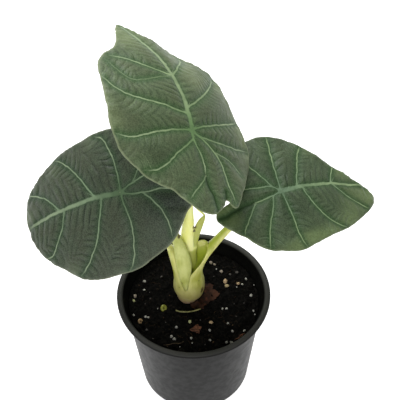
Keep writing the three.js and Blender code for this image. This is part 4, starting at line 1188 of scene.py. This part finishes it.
def leaf_finish(side):
    """Leathery skin: two-green ripples with painted shade in the folds and painted sheen on the ridges, a
    dull bloom, greener flanks and pale veins and margin.
    """
    *tones, hair = LEAF_TONES[side]
    valley, ridge, bloom, flank, root, vein, end, margin, painted_light_and_shade = (colour(*tone) for tone in tones)
    skin = Finish(f"{side}_leaf_skin", 0.5, 0.28)
    skin.paint("Sheen Weight", 0.04)
    skin.paint("Sheen Roughness", 0.5)
    ripple = skin.stored("ripple")
    # The folds are painted darker and the ridges lighter: partly their own two greens, partly painted shade
    # in the folds and painted sheen on the ridges
    shade = skin.mix(skin.rise(ripple, -0.9, 0.7), valley, ridge)
    dull = skin.times(skin.rise(skin.grain(13, 3), 0.38, 0.62, 0.25, 1), skin.stored("puff"))
    shade = skin.mix(skin.times(dull, 0.8), shade, bloom)
    # Painted light on the lighter places, partly their own yellower green, and painted shade on the darker
    # ones
    shade = skin.mix(skin.rise(skin.stored("painted_light_and_shade"), 0.1, 1.2, 0, 0.75), shade, painted_light_and_shade)
    shade = skin.mix(skin.rise(skin.stored("painted_light_and_shade"), 0, -1.3, 0, 0.95), shade, valley)
    shade = skin.mix(skin.rise(skin.stored("flank"), 0.02, 1, 0, 0.8), shade, flank)
    shade = skin.mix(skin.times(skin.stored("hair"), hair), shade, vein)
    threads = skin.net(1.5)
    shade = skin.mix(skin.rise(threads, 0.14, 0.02, 0, 0.16), shade, vein)
    shade = skin.mix(skin.rise(skin.grain(1.2, 4), 0.4, 0.7, 0, 0.25), shade, valley)
    # Painted shade along the creases, where the folds beside the notch lie in shade
    shade = skin.mix(skin.times(skin.stored("crease"), 0.85), shade, colour(29, 55, 18))
    across = skin.stored("across")
    line = skin.rise(skin.times(across, across), 2, 0.1)
    line = skin.times(line, skin.rise(skin.stored("flank"), 0.6, 0.82))
    worn = skin.rise(skin.grain(6, 2), 0.3, 0.7, 0.62, 0.92)
    line = skin.times(line, skin.times(skin.stored("fade"), worn))
    cord = skin.mix(skin.rise(skin.stored("outward"), 0.1, 0.9), vein, end)
    shade = skin.mix(line, shade, skin.mix(skin.stored("root"), cord, root))
    shade = skin.mix(skin.times(skin.stored("margin"), 0.6), shade, margin)
    below = skin.two_tones(skin.grain(5, 3), 0.35, 0.65, (104, 120, 84), (124, 138, 98))
    below = skin.mix(skin.times(line, 0.8), below, colour(160, 172, 124))
    skin.paint("Base Color", skin.mix(skin.stored("under"), shade, below))
    skin.paint("Roughness", skin.rise(skin.grain(2.5, 3), 0.3, 0.7, 0.44, 0.6))
    skin.relief(skin.rise(threads, 0, 0.3), 0.05, 0.7)
    skin.relief(skin.grain(0.8, 3), 0.06, 0.7)
    return skin


LEAF_VALUES = (
    "across", "fade", "crease", "ripple", "hair", "flank", "puff", "outward", "margin", "root", "painted_light_and_shade",
    "under",
)
LEAF_TONES = {  # valley (partly painted shade), ridge (partly painted sheen), bloom, flank, root, vein, end, margin, lit places (painted light); how pale the hair veins are
    "top": (
        (36, 55, 31), (90, 108, 75), (80, 89, 62), (50, 82, 41), (112, 146, 92),
        (148, 170, 124), (161, 180, 139), (142, 152, 116), (132, 147, 102), 0.4),
    "left": (
        (18, 30, 18), (70, 82, 62), (59, 64, 48), (36, 60, 33), (82, 106, 74),
        (122, 144, 112), (145, 162, 129), (126, 132, 106), (106, 118, 90), 0.1),
    "right": (
        (31, 48, 27), (76, 93, 64), (66, 78, 53), (43, 74, 35), (108, 132, 104),
        (130, 154, 116), (149, 171, 124), (118, 130, 94), (114, 132, 84), 0.4),
}
for side, leaf in LEAVES.items():
    piece = blade(f"{side}_leaf", leaf, LEAF_POSES[side])
    finished(piece, leaf_finish(side), "leaf", f"blade_{side}")


# The studio
# A plain white table that glows softly, as a light table does, one large soft lamp high behind the
# plant and one before it. The camera looks down at the plant as in the photograph.

TABLE_SIZE = 6
TABLE_GLOW = 0.93
ROOM_LIGHT = 0.25
LAMPS = [  # place, width and power
    ((-0.25, 0.75, 1.15), 1.2, 20),
    ((-0.15, -1.15, 0.75), 0.9, 7),
]
LAMPS_AIM = (0, 0.02, 0.12)
CAMERA_PLACE = (5.8, -448.0, 695.6)
LOOKING_DOWN = 48.28
CAMERA_ROLL = -1.03
CAMERA_LENS = 93.96

bpy.ops.mesh.primitive_plane_add(size=TABLE_SIZE)
floor = bpy.context.active_object
floor.name = "floor"
paper = Finish("floor_paper", 0.9, 0.1)
paper.paint("Base Color", paper.two_tones(paper.grain(60, 2), 0.3, 0.7, (204,) * 3, (208,) * 3))
paper.paint("Emission Color", colour(255, 255, 255))
paper.paint("Emission Strength", TABLE_GLOW)
floor.data.materials.append(paper.material)

world = bpy.data.worlds.new("studio")
bpy.context.scene.world = world
world.use_nodes = True
room = world.node_tree.nodes["Background"]
room.inputs["Color"].default_value = (1, 1, 1, 1)
room.inputs["Strength"].default_value = ROOM_LIGHT

for place, width, power in LAMPS:
    bpy.ops.object.light_add(type="AREA", location=place)
    lamp = bpy.context.active_object
    lamp.data.shape = "DISK"
    lamp.data.size = width
    lamp.data.energy = power
    lamp.rotation_mode = "QUATERNION"
    lamp.rotation_quaternion = (lamp.location - Vector(LAMPS_AIM)).to_track_quat("Z", "Y")

view = bpy.data.cameras.new("camera")
view.lens = CAMERA_LENS
view.sensor_width = 36
view.clip_start = 0.01
camera = bpy.data.objects.new("camera", view)
bpy.context.collection.objects.link(camera)
tilt = Matrix.Rotation(math.radians(90 - LOOKING_DOWN), 4, "X")
roll = Matrix.Rotation(math.radians(CAMERA_ROLL), 4, "Z")
camera.matrix_world = Matrix.Translation([c * MM for c in CAMERA_PLACE]) @ tilt @ roll
bpy.context.scene.camera = camera
bpy.context.scene.view_settings.view_transform = "Standard"
